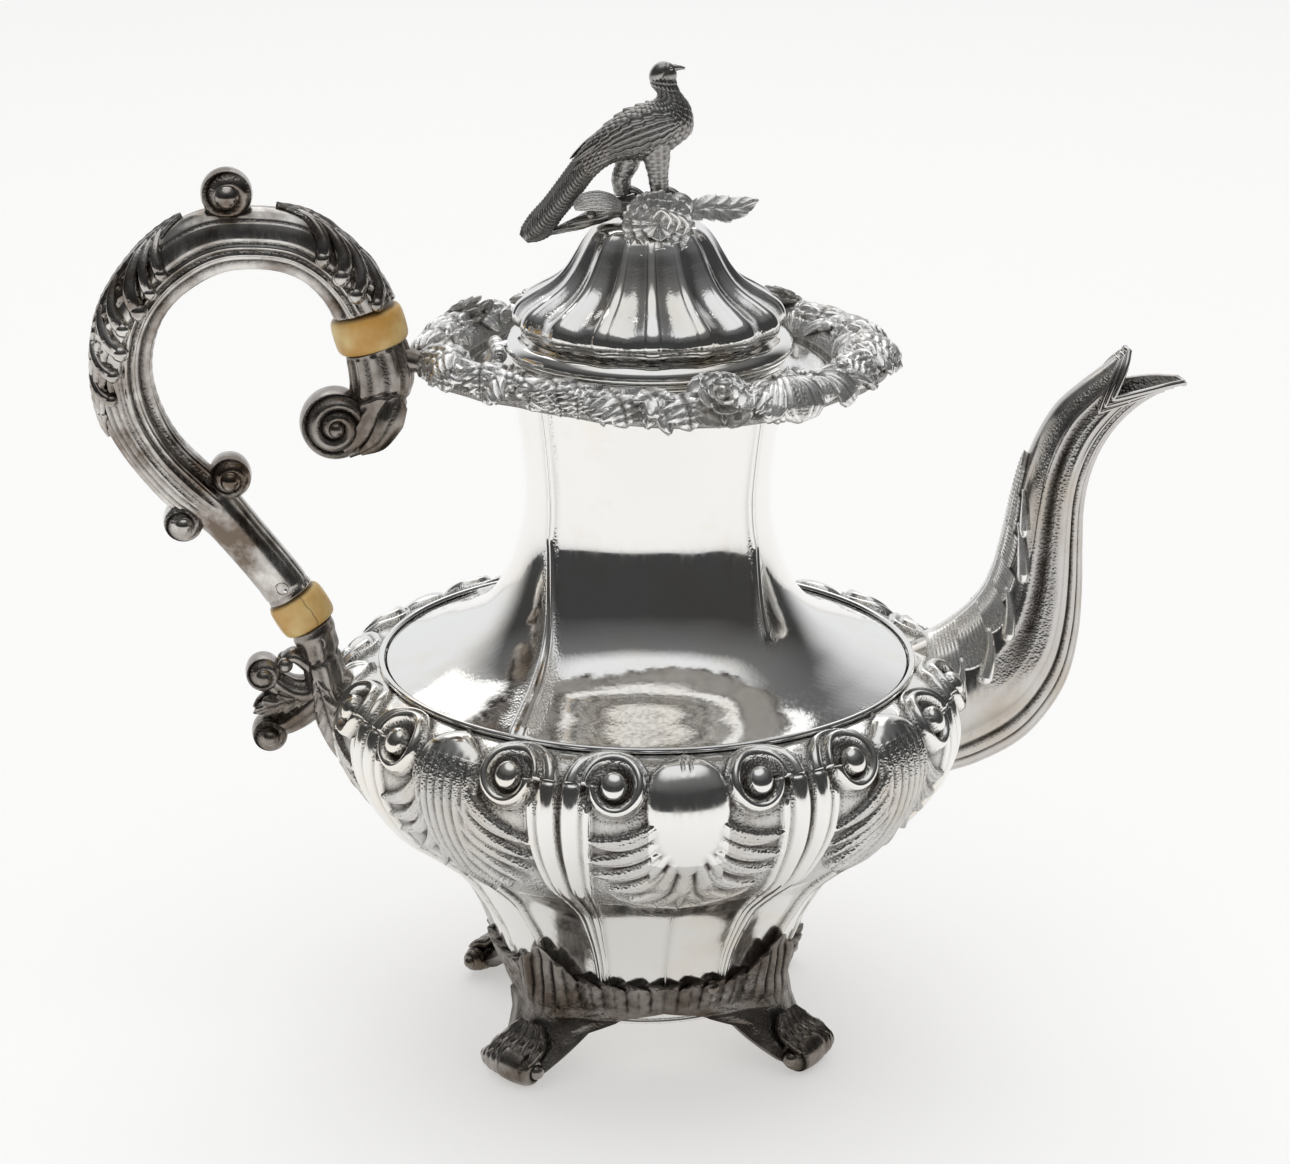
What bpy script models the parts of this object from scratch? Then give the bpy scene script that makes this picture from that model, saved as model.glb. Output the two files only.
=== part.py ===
"""Silver coffee pot: lobed body on four scroll feet, floral collar, hinged fluted lid with a
bird finial, C-scroll handle with two ivory insulators, and a swan-neck spout.

Everything is in metres with +Z up. The pot stands on Z = 0 with its axis on the Z axis, the
spout points to +X, the handle to -X, and the front face is -Y. Lists of sizes are in
millimetres and are scaled by MM when a mesh is made.
"""

import math

import bmesh
import bpy
from mathutils import Matrix, Vector

MM = 0.001
GAP = 0.3  # clearance left wherever two pieces meet

# ---------------------------------------------------------------- sizes (mm)
PANELS = 8
PANEL_ANGLE = 360.0 / PANELS
BODY_SEGMENTS = 48
RING_SEGMENTS = 40
WALL = 1.2


# Outside of the lower body, from the seam down to the base: radius, height.
LOWER_PROFILE = [
    (70.6, 103.2), (75.6, 101.8), (79.6, 97.4), (81.6, 90.6), (80.4, 83.0), (76.8, 75.6),
    (70.6, 67.0), (61.4, 59.4), (53.4, 52.0), (47.6, 43.6), (43.2, 35.6), (40.2, 27.4),
    (37.2, 20.0), (36.6, 16.2),
]
RIB_HEIGHT = 1.5
VOLUTE_HEIGHT = 2.4
VOLUTE_Z = 96.0
FAN_HEIGHT = 1.6  # leaf work in the middle of each panel
FAN_Z = 82.0

# Outside of the upper body, from the collar down to the seam.
UPPER_PROFILE = [
    (35.4, 180.2), (33.9, 171.0), (32.2, 160.5), (31.7, 151.0), (32.2, 142.0), (34.7, 132.4),
    (38.0, 124.4), (43.2, 117.0), (50.6, 112.0), (59.6, 107.4), (68.2, 104.0),
]

COLLAR_INNER = 47.3
# Radius of the collar's wavy edge every 15 degrees, counted from the front (-Y) towards the
# spout (+X).
COLLAR_EDGE = [
    59.0, 60.4, 59.6, 58.0, 60.0, 62.0, 65.6, 65.0, 62.0, 62.0, 61.0, 60.4,
    61.0, 62.0, 61.0, 60.6, 62.0, 60.8, 59.4, 57.6, 54.6, 51.4, 52.2, 55.8,
]

MOUTH_RADIUS = 32.4
HINGE_X = -38.6
HINGE_Z = 187.6
PIN_RADIUS = 0.8
KNUCKLE_RADIUS = 1.9

FLANGE_PROFILE = [
    (30.6, 187.0), (35.9, 187.0), (36.3, 187.7), (35.8, 188.8), (34.2, 189.5),
    (32.8, 190.4), (32.0, 191.3), (30.6, 191.3),
]
DOME_PROFILE = [
    (32.2, 191.6), (34.1, 195.4), (32.6, 198.6), (26.2, 202.6), (20.6, 207.4), (15.9, 214.8),
    (12.4, 218.9), (8.0, 220.0),
]
DOME_TOP_Z = 220.3
DOME_FLUTES = 24

APRON_ANGLE = 45.0  # of each foot casting from the front or back of the pot
LEG_SHIFT = 2.0  # how far the leg leans towards the pot's side, in degrees
FOOT_ROLL_RADIUS = 52.3

# Spout: upper edge, lower edge and half the width, from the root to the mouth (X and Z).
SPOUT_STATIONS = [
    ((70.0, 103.5), (74.0, 66.0), 13.5),
    ((79.0, 107.6), (89.0, 70.6), 13.2),
    ((85.6, 112.6), (100.4, 76.4), 12.6),
    ((89.6, 117.2), (108.0, 84.6), 11.8),
    ((92.2, 122.6), (113.0, 94.0), 10.8),
    ((94.0, 128.8), (115.4, 106.0), 9.8),
    ((95.6, 136.4), (115.8, 118.4), 9.0),
    ((97.3, 145.0), (115.3, 130.6), 8.4),
    ((99.4, 153.6), (115.1, 141.0), 7.9),
    ((102.6, 161.6), (116.2, 149.4), 7.5),
    ((107.0, 168.8), (118.8, 156.8), 7.2),
    ((113.0, 174.2), (123.2, 163.6), 7.0),
    ((118.6, 178.4), (129.0, 168.8), 6.9),
    ((122.4, 181.4), (135.4, 172.2), 6.8),
    ((124.2, 182.8), (140.6, 173.8), 5.6),
]
SPOUT_WALL = 1.1

# Handle grip: outer edge, inner edge and half the width, from the upper ivory ring round the
# C-scroll and down the stem to the lower ivory ring.
GRIP_STATIONS = [
    ((-64.8, 201.0), (-79.4, 196.0), 6.8),
    ((-67.9, 206.8), (-81.8, 200.7), 6.9),
    ((-72.3, 212.8), (-84.5, 204.2), 7.0),
    ((-77.6, 218.0), (-87.6, 206.9), 7.0),
    ((-84.5, 223.0), (-91.5, 208.8), 7.0),
    ((-91.6, 225.7), (-95.8, 209.8), 7.0),
    ((-100.0, 226.4), (-100.4, 210.1), 7.0),
    ((-107.6, 226.4), (-104.9, 209.8), 7.0),
    ((-114.4, 224.8), (-109.0, 208.6), 7.0),
    ((-121.4, 221.0), (-113.2, 206.4), 7.0),
    ((-128.3, 215.4), (-118.0, 202.9), 7.0),
    ((-134.5, 207.5), (-121.6, 198.6), 7.0),
    ((-138.7, 199.5), (-123.9, 193.6), 7.0),
    ((-140.5, 190.5), (-125.1, 188.0), 7.0),
    ((-140.4, 181.0), (-125.0, 182.2), 7.0),
    ((-138.2, 172.2), (-123.4, 176.0), 7.0),
    ((-134.1, 164.2), (-120.6, 169.8), 7.0),
    ((-129.2, 157.0), (-116.9, 164.6), 7.0),
    ((-123.8, 150.4), (-112.0, 159.6), 6.6),
    ((-118.4, 145.6), (-108.0, 155.2), 6.2),
    ((-113.2, 141.6), (-104.2, 150.8), 5.8),
    ((-107.4, 134.6), (-99.0, 143.8), 5.6),
    ((-101.6, 127.0), (-92.6, 135.4), 5.6),
    ((-97.4, 120.6), (-86.8, 127.2), 5.8),
]
THUMB_SCROLL = (-105.4, 229.4, 6.2)
INNER_VOLUTE = (-106.9, 156.6, 5.0)
OUTER_VOLUTE = (-119.2, 145.0, 4.9)

UPPER_SOCKET_STATIONS = [
    ((-62.3, 191.8), (-76.9, 186.8), 6.8),
    ((-60.9, 187.4), (-76.3, 183.0), 7.0),
    ((-60.1, 181.4), (-76.0, 178.6), 7.2),
    ((-61.4, 175.0), (-76.6, 174.6), 7.0),
    ((-64.4, 168.4), (-77.6, 171.6), 6.6),
    ((-69.4, 163.4), (-79.0, 169.0), 6.0),
]
UPPER_SCROLL = (-80.0, 169.6, 8.7)
LOWER_SOCKET_STATIONS = [
    ((-82.4, 118.2), (-92.2, 113.0), 6.0),
    ((-81.0, 112.2), (-90.8, 108.4), 6.4),
    ((-79.6, 105.6), (-89.6, 102.6), 7.0),
    ((-77.6, 98.6), (-88.6, 96.6), 7.4),
    ((-74.6, 91.4), (-85.6, 88.2), 7.4),
]
# Leafy double scroll on the back of the lower socket: centre (X and Z) and radius.
FROND = [
    ((-103.6, 104.6), 1.2), ((-101.4, 103.4), 3.2), ((-98.4, 101.4), 2.9), ((-94.0, 99.6), 2.6),
    ((-88.4, 96.6), 3.4), ((-92.0, 91.6), 3.2), ((-96.6, 88.4), 3.8), ((-99.6, 86.0), 3.6),
    ((-102.6, 84.4), 1.2),
]

# Bird: back edge, breast edge and half the width, from the tail tip to the crown.
BIRD_STATIONS = [
    ((-32.9, 217.2), (-30.6, 214.9), 1.6),
    ((-30.2, 221.5), (-25.6, 216.9), 2.6),
    ((-26.4, 225.8), (-22.4, 221.4), 2.8),
    ((-22.6, 230.8), (-18.6, 226.0), 3.2),
    ((-18.1, 236.8), (-14.4, 231.6), 4.0),
    ((-13.5, 242.0), (-10.4, 234.9), 5.2),
    ((-7.6, 246.6), (-6.0, 236.0), 6.3),
    ((-2.4, 249.0), (0.4, 235.8), 6.8),
    ((1.2, 250.4), (6.6, 239.4), 6.4),
    ((2.0, 251.6), (10.4, 243.2), 5.3),
    ((1.6, 252.6), (10.6, 248.6), 4.0),
    ((0.6, 254.0), (7.0, 252.8), 3.1),
    ((0.0, 255.8), (6.4, 255.4), 2.9),
    ((0.3, 257.6), (6.9, 257.2), 2.9),
    ((1.6, 259.2), (6.4, 258.8), 2.3),
]
BIRD_TOP = (4.0, 260.0)


# ---------------------------------------------------------------- materials
def principled(name, colour, metallic, roughness):
    material = bpy.data.materials.new(name)
    material.use_nodes = True
    shader = material.node_tree.nodes["Principled BSDF"]
    shader.inputs["Base Color"].default_value = (*colour, 1.0)
    shader.inputs["Metallic"].default_value = metallic
    shader.inputs["Roughness"].default_value = roughness
    material.diffuse_color = (*colour, 1.0)
    return material


# ---------------------------------------------------------------- mesh helpers
def clean(mesh_object):
    """Joins doubled points, drops collapsed faces and turns every face outwards."""
    work = bmesh.new()
    work.from_mesh(mesh_object.data)
    bmesh.ops.remove_doubles(work, verts=work.verts, dist=2e-6)
    bmesh.ops.dissolve_degenerate(work, edges=work.edges, dist=2e-6)
    bmesh.ops.triangulate(work, faces=work.faces)
    bmesh.ops.recalc_face_normals(work, faces=work.faces)
    work.to_mesh(mesh_object.data)
    work.free()


def make_object(name, points, faces, material):
    mesh = bpy.data.meshes.new(name)
    mesh.from_pydata([Vector(point) * MM for point in points], [], faces)
    mesh.materials.append(material)
    made = bpy.data.objects.new(name, mesh)
    bpy.context.scene.collection.objects.link(made)
    clean(made)
    return made


def combine(target, helper, operation):
    """Applies one boolean step to target and removes the helper."""
    step = target.modifiers.new("step", "BOOLEAN")
    step.operation = operation
    step.solver = "EXACT"
    step.object = helper
    bpy.context.view_layer.objects.active = target
    bpy.ops.object.modifier_apply(modifier=step.name)
    bpy.data.objects.remove(helper)
    clean(target)


def polar(radius, angle, z):
    """A point at an angle in degrees counted from the front (-Y) towards the spout (+X)."""
    turn = math.radians(angle)
    return (radius * math.sin(turn), -radius * math.cos(turn), z)


def turned(name, profile, material, segments=RING_SEGMENTS, shape=None, start=0.0):
    """Revolves a closed loop of (radius, z); shape(angle, radius, z, index) may move points."""
    points = []
    for column in range(segments):
        angle = start + 360.0 * column / segments
        for index, (radius, z) in enumerate(profile):
            if shape:
                radius, z = shape(angle, radius, z, index)
            points.append(polar(radius, angle, z))
    count = len(profile)
    faces = []
    for column in range(segments):
        following = (column + 1) % segments
        for index in range(count):
            after = (index + 1) % count
            faces.append((
                column * count + index,
                column * count + after,
                following * count + after,
                following * count + index,
            ))
    return make_object(name, points, faces, material)


def turned_solid(name, profile, material, segments=RING_SEGMENTS, shape=None, start=0.0):
    """Revolves a run of (radius, z) and closes it on the axis above and below."""
    points = []
    for column in range(segments):
        angle = start + 360.0 * column / segments
        for index, (radius, z) in enumerate(profile):
            if shape:
                radius, z = shape(angle, radius, z, index)
            points.append(polar(radius, angle, z))
    count = len(profile)
    first_pole = len(points)
    points.append((0.0, 0.0, profile[0][1]))
    points.append((0.0, 0.0, profile[-1][1]))
    faces = []
    for column in range(segments):
        following = (column + 1) % segments
        for index in range(count - 1):
            faces.append((
                column * count + index,
                column * count + index + 1,
                following * count + index + 1,
                following * count + index,
            ))
        faces.append((first_pole, column * count, following * count))
        faces.append((
            first_pole + 1,
            following * count + count - 1,
            column * count + count - 1,
        ))
    return make_object(name, points, faces, material)


def offset_inwards(profile, distance):
    """Moves an outside profile run towards the axis side by a wall thickness."""
    moved = []
    for index, (radius, z) in enumerate(profile):
        before = profile[max(index - 1, 0)]
        after = profile[min(index + 1, len(profile) - 1)]
        along = Vector((after[0] - before[0], after[1] - before[1])).normalized()
        normal = Vector((along[1], -along[0]))
        if normal[0] > 0.0:
            normal = -normal
        if abs(normal[0]) < 0.35:
            normal = Vector((normal[0], -abs(normal[1])))
        moved.append((radius + normal[0] * distance, z + normal[1] * distance))
    return moved


def skin(name, rings, material):
    """Joins equal rings of points into a closed solid with a fan at each end."""
    count = len(rings[0])
    points = [point for ring in rings for point in ring]
    faces = []
    for row in range(len(rings) - 1):
        for index in range(count):
            after = (index + 1) % count
            faces.append((
                row * count + index,
                row * count + after,
                (row + 1) * count + after,
                (row + 1) * count + index,
            ))
    for ring, row in ((rings[0], 0), (rings[-1], len(rings) - 1)):
        centre = sum((Vector(point) for point in ring), Vector()) / count
        points.append(tuple(centre))
        hub = len(points) - 1
        for index in range(count):
            after = (index + 1) % count
            faces.append((hub, row * count + after, row * count + index))
    return make_object(name, points, faces, material)


def station_ring(edge_a, edge_b, half_width, sides=16, shrink=0.0):
    """An oval in the plane through two X-Z edge points, as wide as half_width each way in Y."""
    a = Vector((edge_a[0], 0.0, edge_a[1]))
    b = Vector((edge_b[0], 0.0, edge_b[1]))
    centre = (a + b) / 2.0
    half = (a - b) / 2.0
    length = half.length
    half = half * ((length - shrink) / length)
    ring = []
    for index in range(sides):
        turn = 2.0 * math.pi * index / sides
        side = Vector((0.0, (half_width - shrink) * math.sin(turn), 0.0))
        ring.append(tuple(centre + half * math.cos(turn) + side))
    return ring


def station_skin(name, stations, material, sides=16, shrink=0.0):
    rings = [station_ring(a, b, width, sides, shrink) for a, b, width in stations]
    return skin(name, rings, material)


def rod(name, start, end, radius_start, radius_end, material, sides=16):
    """A straight round rod between two points."""
    start = Vector(start)
    end = Vector(end)
    along = (end - start).normalized()
    helper = Vector((0.0, 1.0, 0.0))
    if abs(along.dot(helper)) > 0.9:
        helper = Vector((0.0, 0.0, 1.0))
    across = along.cross(helper).normalized()
    other = along.cross(across).normalized()
    rings = []
    for centre, radius in ((start, radius_start), (end, radius_end)):
        ring = []
        for index in range(sides):
            turn = 2.0 * math.pi * (index + 0.5) / sides
            ring.append(tuple(
                centre + across * (radius * math.cos(turn)) + other * (radius * math.sin(turn))
            ))
        rings.append(ring)
    return skin(name, rings, material)


def roll(name, centre_x, centre_z, radius, half_width, material, sides=12):
    """A scroll seen end on: a short roll along Y, fuller at its ends."""
    rings = []
    for part, scale in (
        (-1.0, 0.55), (-0.94, 0.9), (-0.7, 1.0), (0.7, 1.0), (0.94, 0.9), (1.0, 0.55),
    ):
        ring = []
        for index in range(sides):
            turn = 2.0 * math.pi * index / sides
            ring.append((
                centre_x + radius * scale * math.cos(turn),
                half_width * part,
                centre_z + radius * scale * math.sin(turn),
            ))
        rings.append(ring)
    return skin(name, rings, material)


def ball(name, centre, radius, material, segments=14, rows=8, stretch=(1.0, 1.0, 1.0)):
    rings = []
    for row in range(1, rows):
        lift = math.pi * row / rows
        ring = []
        for index in range(segments):
            turn = 2.0 * math.pi * index / segments
            ring.append((
                centre[0] + radius * stretch[0] * math.sin(lift) * math.cos(turn),
                centre[1] + radius * stretch[1] * math.sin(lift) * math.sin(turn),
                centre[2] + radius * stretch[2] * math.cos(lift),
            ))
        rings.append(ring)
    return skin(name, rings, material)


def block(name, low, high, material):
    points = []
    for x in (low[0], high[0]):
        for y in (low[1], high[1]):
            for z in (low[2], high[2]):
                points.append((x, y, z))
    faces = [(0, 1, 3, 2), (4, 6, 7, 5), (0, 4, 5, 1), (2, 3, 7, 6), (0, 2, 6, 4), (1, 5, 7, 3)]
    return make_object(name, points, faces, material)


def interpolate(table, value):
    """Reads y at value from (x, y) pairs whose x rises."""
    if value <= table[0][0]:
        return table[0][1]
    for (x0, y0), (x1, y1) in zip(table, table[1:]):
        if value <= x1:
            return y0 + (y1 - y0) * (value - x0) / (x1 - x0)
    return table[-1][1]


# ---------------------------------------------------------------- body shape
def from_pair_centre(angle):
    """Degrees from the nearest rib pair; the pairs stand midway between the panels."""
    return (angle % PANEL_ANGLE) - PANEL_ANGLE / 2.0


def body_relief(angle, z):
    """How far ribs, volutes and leaf fans stand out of the lower body."""
    away = from_pair_centre(angle)
    rib_fade = interpolate([(28.0, 0.0), (42.0, 1.0), (92.0, 1.0), (99.0, 0.0)], z)
    rib = RIB_HEIGHT * math.exp(-(away / 5.0) ** 2) * rib_fade
    volute = VOLUTE_HEIGHT * math.exp(-((abs(away) - 10.0) / 5.5) ** 2)
    volute *= math.exp(-((z - VOLUTE_Z) / 8.0) ** 2)
    volute *= interpolate([(99.5, 1.0), (103.0, 0.0)], z)
    fan = FAN_HEIGHT * math.exp(-((abs(away) - PANEL_ANGLE / 2.0) / 9.0) ** 2)
    fan *= math.exp(-((z - FAN_Z) / 13.0) ** 2)
    return max(rib, volute, fan)


LOWER_BY_HEIGHT = [(z, radius) for radius, z in reversed(LOWER_PROFILE)]


def lower_radius(angle, z):
    return interpolate(LOWER_BY_HEIGHT, z) + body_relief(angle, z)


def build_body(silver, spout_bore):
    """Lower and upper shells, the base plate and the wire that covers the seam."""
    outer = list(LOWER_PROFILE)
    inner = offset_inwards(outer, WALL)
    inner[0] = (69.4, 102.0)
    inner[-1] = (inner[-1][0], 16.2)
    rim = [(66.6, 103.2), (66.6, 102.0)]
    loop = [rim[0]] + outer + [inner[index] for index in range(len(inner) - 1, -1, -2)] + [rim[1]]

    def shape(angle, radius, z, index):
        if 0 < index <= len(outer):
            return radius + body_relief(angle, z), z
        return radius, z

    lower = turned(
        "body_lower", loop, silver, BODY_SEGMENTS, shape, start=PANEL_ANGLE / 2.0
    )
    combine(lower, spout_bore, "DIFFERENCE")

    inner_upper = [(radius - WALL, z) for radius, z in UPPER_PROFILE[:-1:2]]
    inner_upper[-1] = (inner_upper[-1][0], inner_upper[-1][1] - 1.0)
    inner_upper[-2] = (inner_upper[-2][0], inner_upper[-2][1] - 0.6)
    loop = [(67.0, 103.5), (68.2, 103.5)] + list(reversed(UPPER_PROFILE)) + inner_upper
    turned("body_upper", loop, silver)

    wire = []
    for index in range(6):
        turn = 2.0 * math.pi * index / 6.0
        wire.append((69.4 + 0.75 * math.cos(turn), 104.3 + 0.75 * math.sin(turn)))
    turned("shoulder_wire", wire, silver)

    turned_solid("base_plate", [(35.4, 15.9), (36.6, 15.5), (36.6, 14.7)], silver)


# ---------------------------------------------------------------- feet
# Half the width of a foot in degrees at each height, and its outer and inner radius.
FOOT_WIDTH = [(4.0, 9.0), (8.0, 14.5), (12.8, 20.0), (16.6, 32.0), (18.4, 44.4)]
FOOT_OUTER = [
    (4.0, 53.5), (6.5, 51.6), (8.0, 50.0), (10.0, 47.6), (12.8, 45.8), (16.6, 44.8),
    (18.4, 44.0), (24.0, 43.0), (30.0, 43.8),
]
FOOT_INNER = [(4.0, 46.0), (8.0, 41.0), (12.8, 38.0), (15.6, 37.0)]


def foot_inner_radius(angle, z):
    if z < 15.6:
        return interpolate(FOOT_INNER, z)
    return lower_radius(angle, z) + GAP + 0.1


def build_foot(name, direction, side, silver):
    """One cast foot: a leaf-edged apron round the base that runs down into a scroll.

    direction is the foot's angle from the front; side is +1 or -1 for which way the nearer
    end of the roll points.
    """
    columns = 11
    heights = ["top", "upper", 18.4, 16.6, 12.0, 4.4]
    outer = []
    inner = []
    for height in heights:
        for column in range(columns):
            across = -1.0 + 2.0 * column / (columns - 1)
            level = 18.4 if isinstance(height, str) else height
            half = interpolate(FOOT_WIDTH, level)
            lean = interpolate([(12.8, LEG_SHIFT), (18.0, 0.0)], level)
            angle = direction + across * half - side * lean
            crest = 26.4 + 9.5 * math.exp(-((across * 44.4) / 10.0) ** 2)
            crest += 0.9 * math.cos(math.radians(across * 44.4 * 16.0))
            z = {"top": crest, "upper": (crest + 18.4) / 2.0}.get(height, height)
            inside = foot_inner_radius(angle, z)
            if height == "top":
                outside = inside + 1.3
            else:
                away = (angle - direction + side * LEG_SHIFT) / 13.0
                swell = max(0.0, interpolate(FOOT_OUTER, z) - inside - 2.0)
                outside = inside + 2.0 + swell * math.exp(-away * away)
            outer.append(polar(outside, angle, z))
            inner.append(polar(inside, angle, z))
    rows = len(heights)
    points = outer + inner
    shift = len(outer)
    faces = []
    for row in range(rows - 1):
        for column in range(columns - 1):
            a = row * columns + column
            b = a + 1
            c = a + columns + 1
            d = a + columns
            faces.append((a, b, c, d))
            faces.append((shift + a, shift + d, shift + c, shift + b))
    for row in range(rows - 1):
        for column, flip in ((0, False), (columns - 1, True)):
            a = row * columns + column
            b = a + columns
            face = (a, b, shift + b, shift + a)
            faces.append(tuple(reversed(face)) if flip else face)
    for row, flip in ((0, True), (rows - 1, False)):
        for column in range(columns - 1):
            a = row * columns + column
            b = a + 1
            face = (a, b, shift + b, shift + a)
            faces.append(tuple(reversed(face)) if flip else face)
    foot = make_object(name, points, faces, silver)

    # The roll lies along the tangent; its flat underside is the pad the pot stands on.
    turn = math.radians(direction - side * LEG_SHIFT)
    outward = Vector((math.sin(turn), -math.cos(turn), 0.0))
    tangent = Vector((math.cos(turn), math.sin(turn), 0.0)) * side
    rings = []
    for along, radius, height in (
        (7.4, 2.4, 4.15), (7.1, 4.4, 4.15), (5.6, 4.7, 4.15), (-1.0, 4.6, 4.15),
        (-4.6, 4.2, 4.0), (-8.4, 3.3, 4.0), (-10.2, 3.0, 4.0), (-10.8, 1.5, 4.0),
    ):
        centre = outward * FOOT_ROLL_RADIUS + tangent * along
        ring = []
        for index in range(12):
            angle = 2.0 * math.pi * (index + 0.5) / 12
            point = centre + outward * (radius * math.cos(angle))
            point.z = max(0.0, height + radius * math.sin(angle))
            ring.append(tuple(point))
        rings.append(ring)
    combine(foot, skin("roll", rings, silver), "UNION")


# ---------------------------------------------------------------- collar and mouth
def collar_edge(angle):
    step = 360.0 / len(COLLAR_EDGE)
    place = (angle % 360.0) / step
    low = int(place) % len(COLLAR_EDGE)
    high = (low + 1) % len(COLLAR_EDGE)
    blend = place - int(place)
    blend = blend * blend * (3.0 - 2.0 * blend)
    return COLLAR_EDGE[low] * (1.0 - blend) + COLLAR_EDGE[high] * blend


def build_collar(silver):
    turned(
        "collar_plate",
        [(MOUTH_RADIUS, 180.5), (40.0, 180.5), (47.0, 181.7), (47.0, 182.7), (40.0, 181.5),
         (MOUTH_RADIUS, 181.5)],
        silver,
    )
    # Part of the way across the border from its inner edge to its wavy outer edge, and height.
    section = [
        (0.0, 181.8), (0.0, 183.4), (0.18, 186.0), (0.42, 187.4), (0.66, 187.2), (0.88, 185.0),
        (1.0, 182.6), (1.0, 181.4), (0.6, 180.6),
    ]

    def shape(angle, part, z, index):
        edge = collar_edge(angle)
        radius = COLLAR_INNER + (edge - COLLAR_INNER) * part
        if 1 < index < 6:
            z += 0.5 * math.sin(math.radians(angle * 11.0)) * math.sin(math.pi * part)
        if index in (5, 6, 7):
            radius -= 0.9 * (0.5 + 0.5 * math.cos(math.radians(angle * 24.0)))
        return radius, z

    turned("collar_border", section, silver, 60, shape)
    turned(
        "mouth_ring",
        [(MOUTH_RADIUS, 181.8), (35.6, 181.8), (35.2, 184.0), (35.6, 186.7),
         (MOUTH_RADIUS, 186.7)],
        silver,
    )


def build_hinge(silver):
    """Two knuckles on the collar, one on the lid, and the pin through all three."""
    for name, y_low, y_high in (
        ("hinge_knuckle_front", -7.0, -2.6),
        ("hinge_knuckle_rear", 2.6, 7.0),
        ("lid_knuckle", -2.3, 2.3),
    ):
        knuckle = rod(
            name, (HINGE_X, y_low, HINGE_Z), (HINGE_X, y_high, HINGE_Z),
            KNUCKLE_RADIUS, KNUCKLE_RADIUS, silver,
        )
        if name == "lid_knuckle":
            arm = block(
                "arm", (HINGE_X, y_low, HINGE_Z - 0.6), (-36.55, y_high, HINGE_Z + 1.3), silver
            )
        else:
            arm = block(
                "arm", (HINGE_X - 1.6, y_low, 181.8), (HINGE_X + 1.6, y_high, HINGE_Z), silver
            )
        combine(knuckle, arm, "UNION")
        bore = rod(
            "bore", (HINGE_X, y_low - 1.0, HINGE_Z), (HINGE_X, y_high + 1.0, HINGE_Z),
            PIN_RADIUS + 0.09, PIN_RADIUS + 0.09, silver,
        )
        combine(knuckle, bore, "DIFFERENCE")
    rod(
        "hinge_pin", (HINGE_X, -7.2, HINGE_Z), (HINGE_X, 7.2, HINGE_Z),
        PIN_RADIUS, PIN_RADIUS, silver, 12,
    )


# ---------------------------------------------------------------- lid and finial
def build_lid(silver):
    turned("lid_flange", FLANGE_PROFILE, silver)
    turned(
        "lid_bezel",
        [(30.7, 182.6), (31.5, 182.6), (31.9, 183.2), (31.9, 186.7), (30.7, 186.7)],
        silver,
    )

    def fluted(angle, radius, z, index):
        depth = interpolate([(192.0, 0.0), (195.0, 0.5), (200.0, 0.8), (216.0, 0.4)], z)
        return radius - depth * (0.5 + 0.5 * math.cos(math.radians(angle * DOME_FLUTES))), z

    outer = DOME_PROFILE + [(1.6, DOME_TOP_Z)]
    inner = [
        (31.0, 191.6), (32.6, 195.6), (25.2, 201.8), (19.2, 207.0), (14.6, 214.4),
        (7.6, 218.8), (1.6, 219.1),
    ]
    turned("lid_dome", outer + list(reversed(inner)), silver, 2 * DOME_FLUTES, fluted)

    # The finial's threaded stem comes down through the dome and is held by a nut.
    turned_solid(
        "finial_nut",
        [(1.2, 220.9), (1.2, 218.9), (4.2, 218.8), (4.2, 216.8), (2.4, 216.0)],
        silver, 16,
    )


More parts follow.
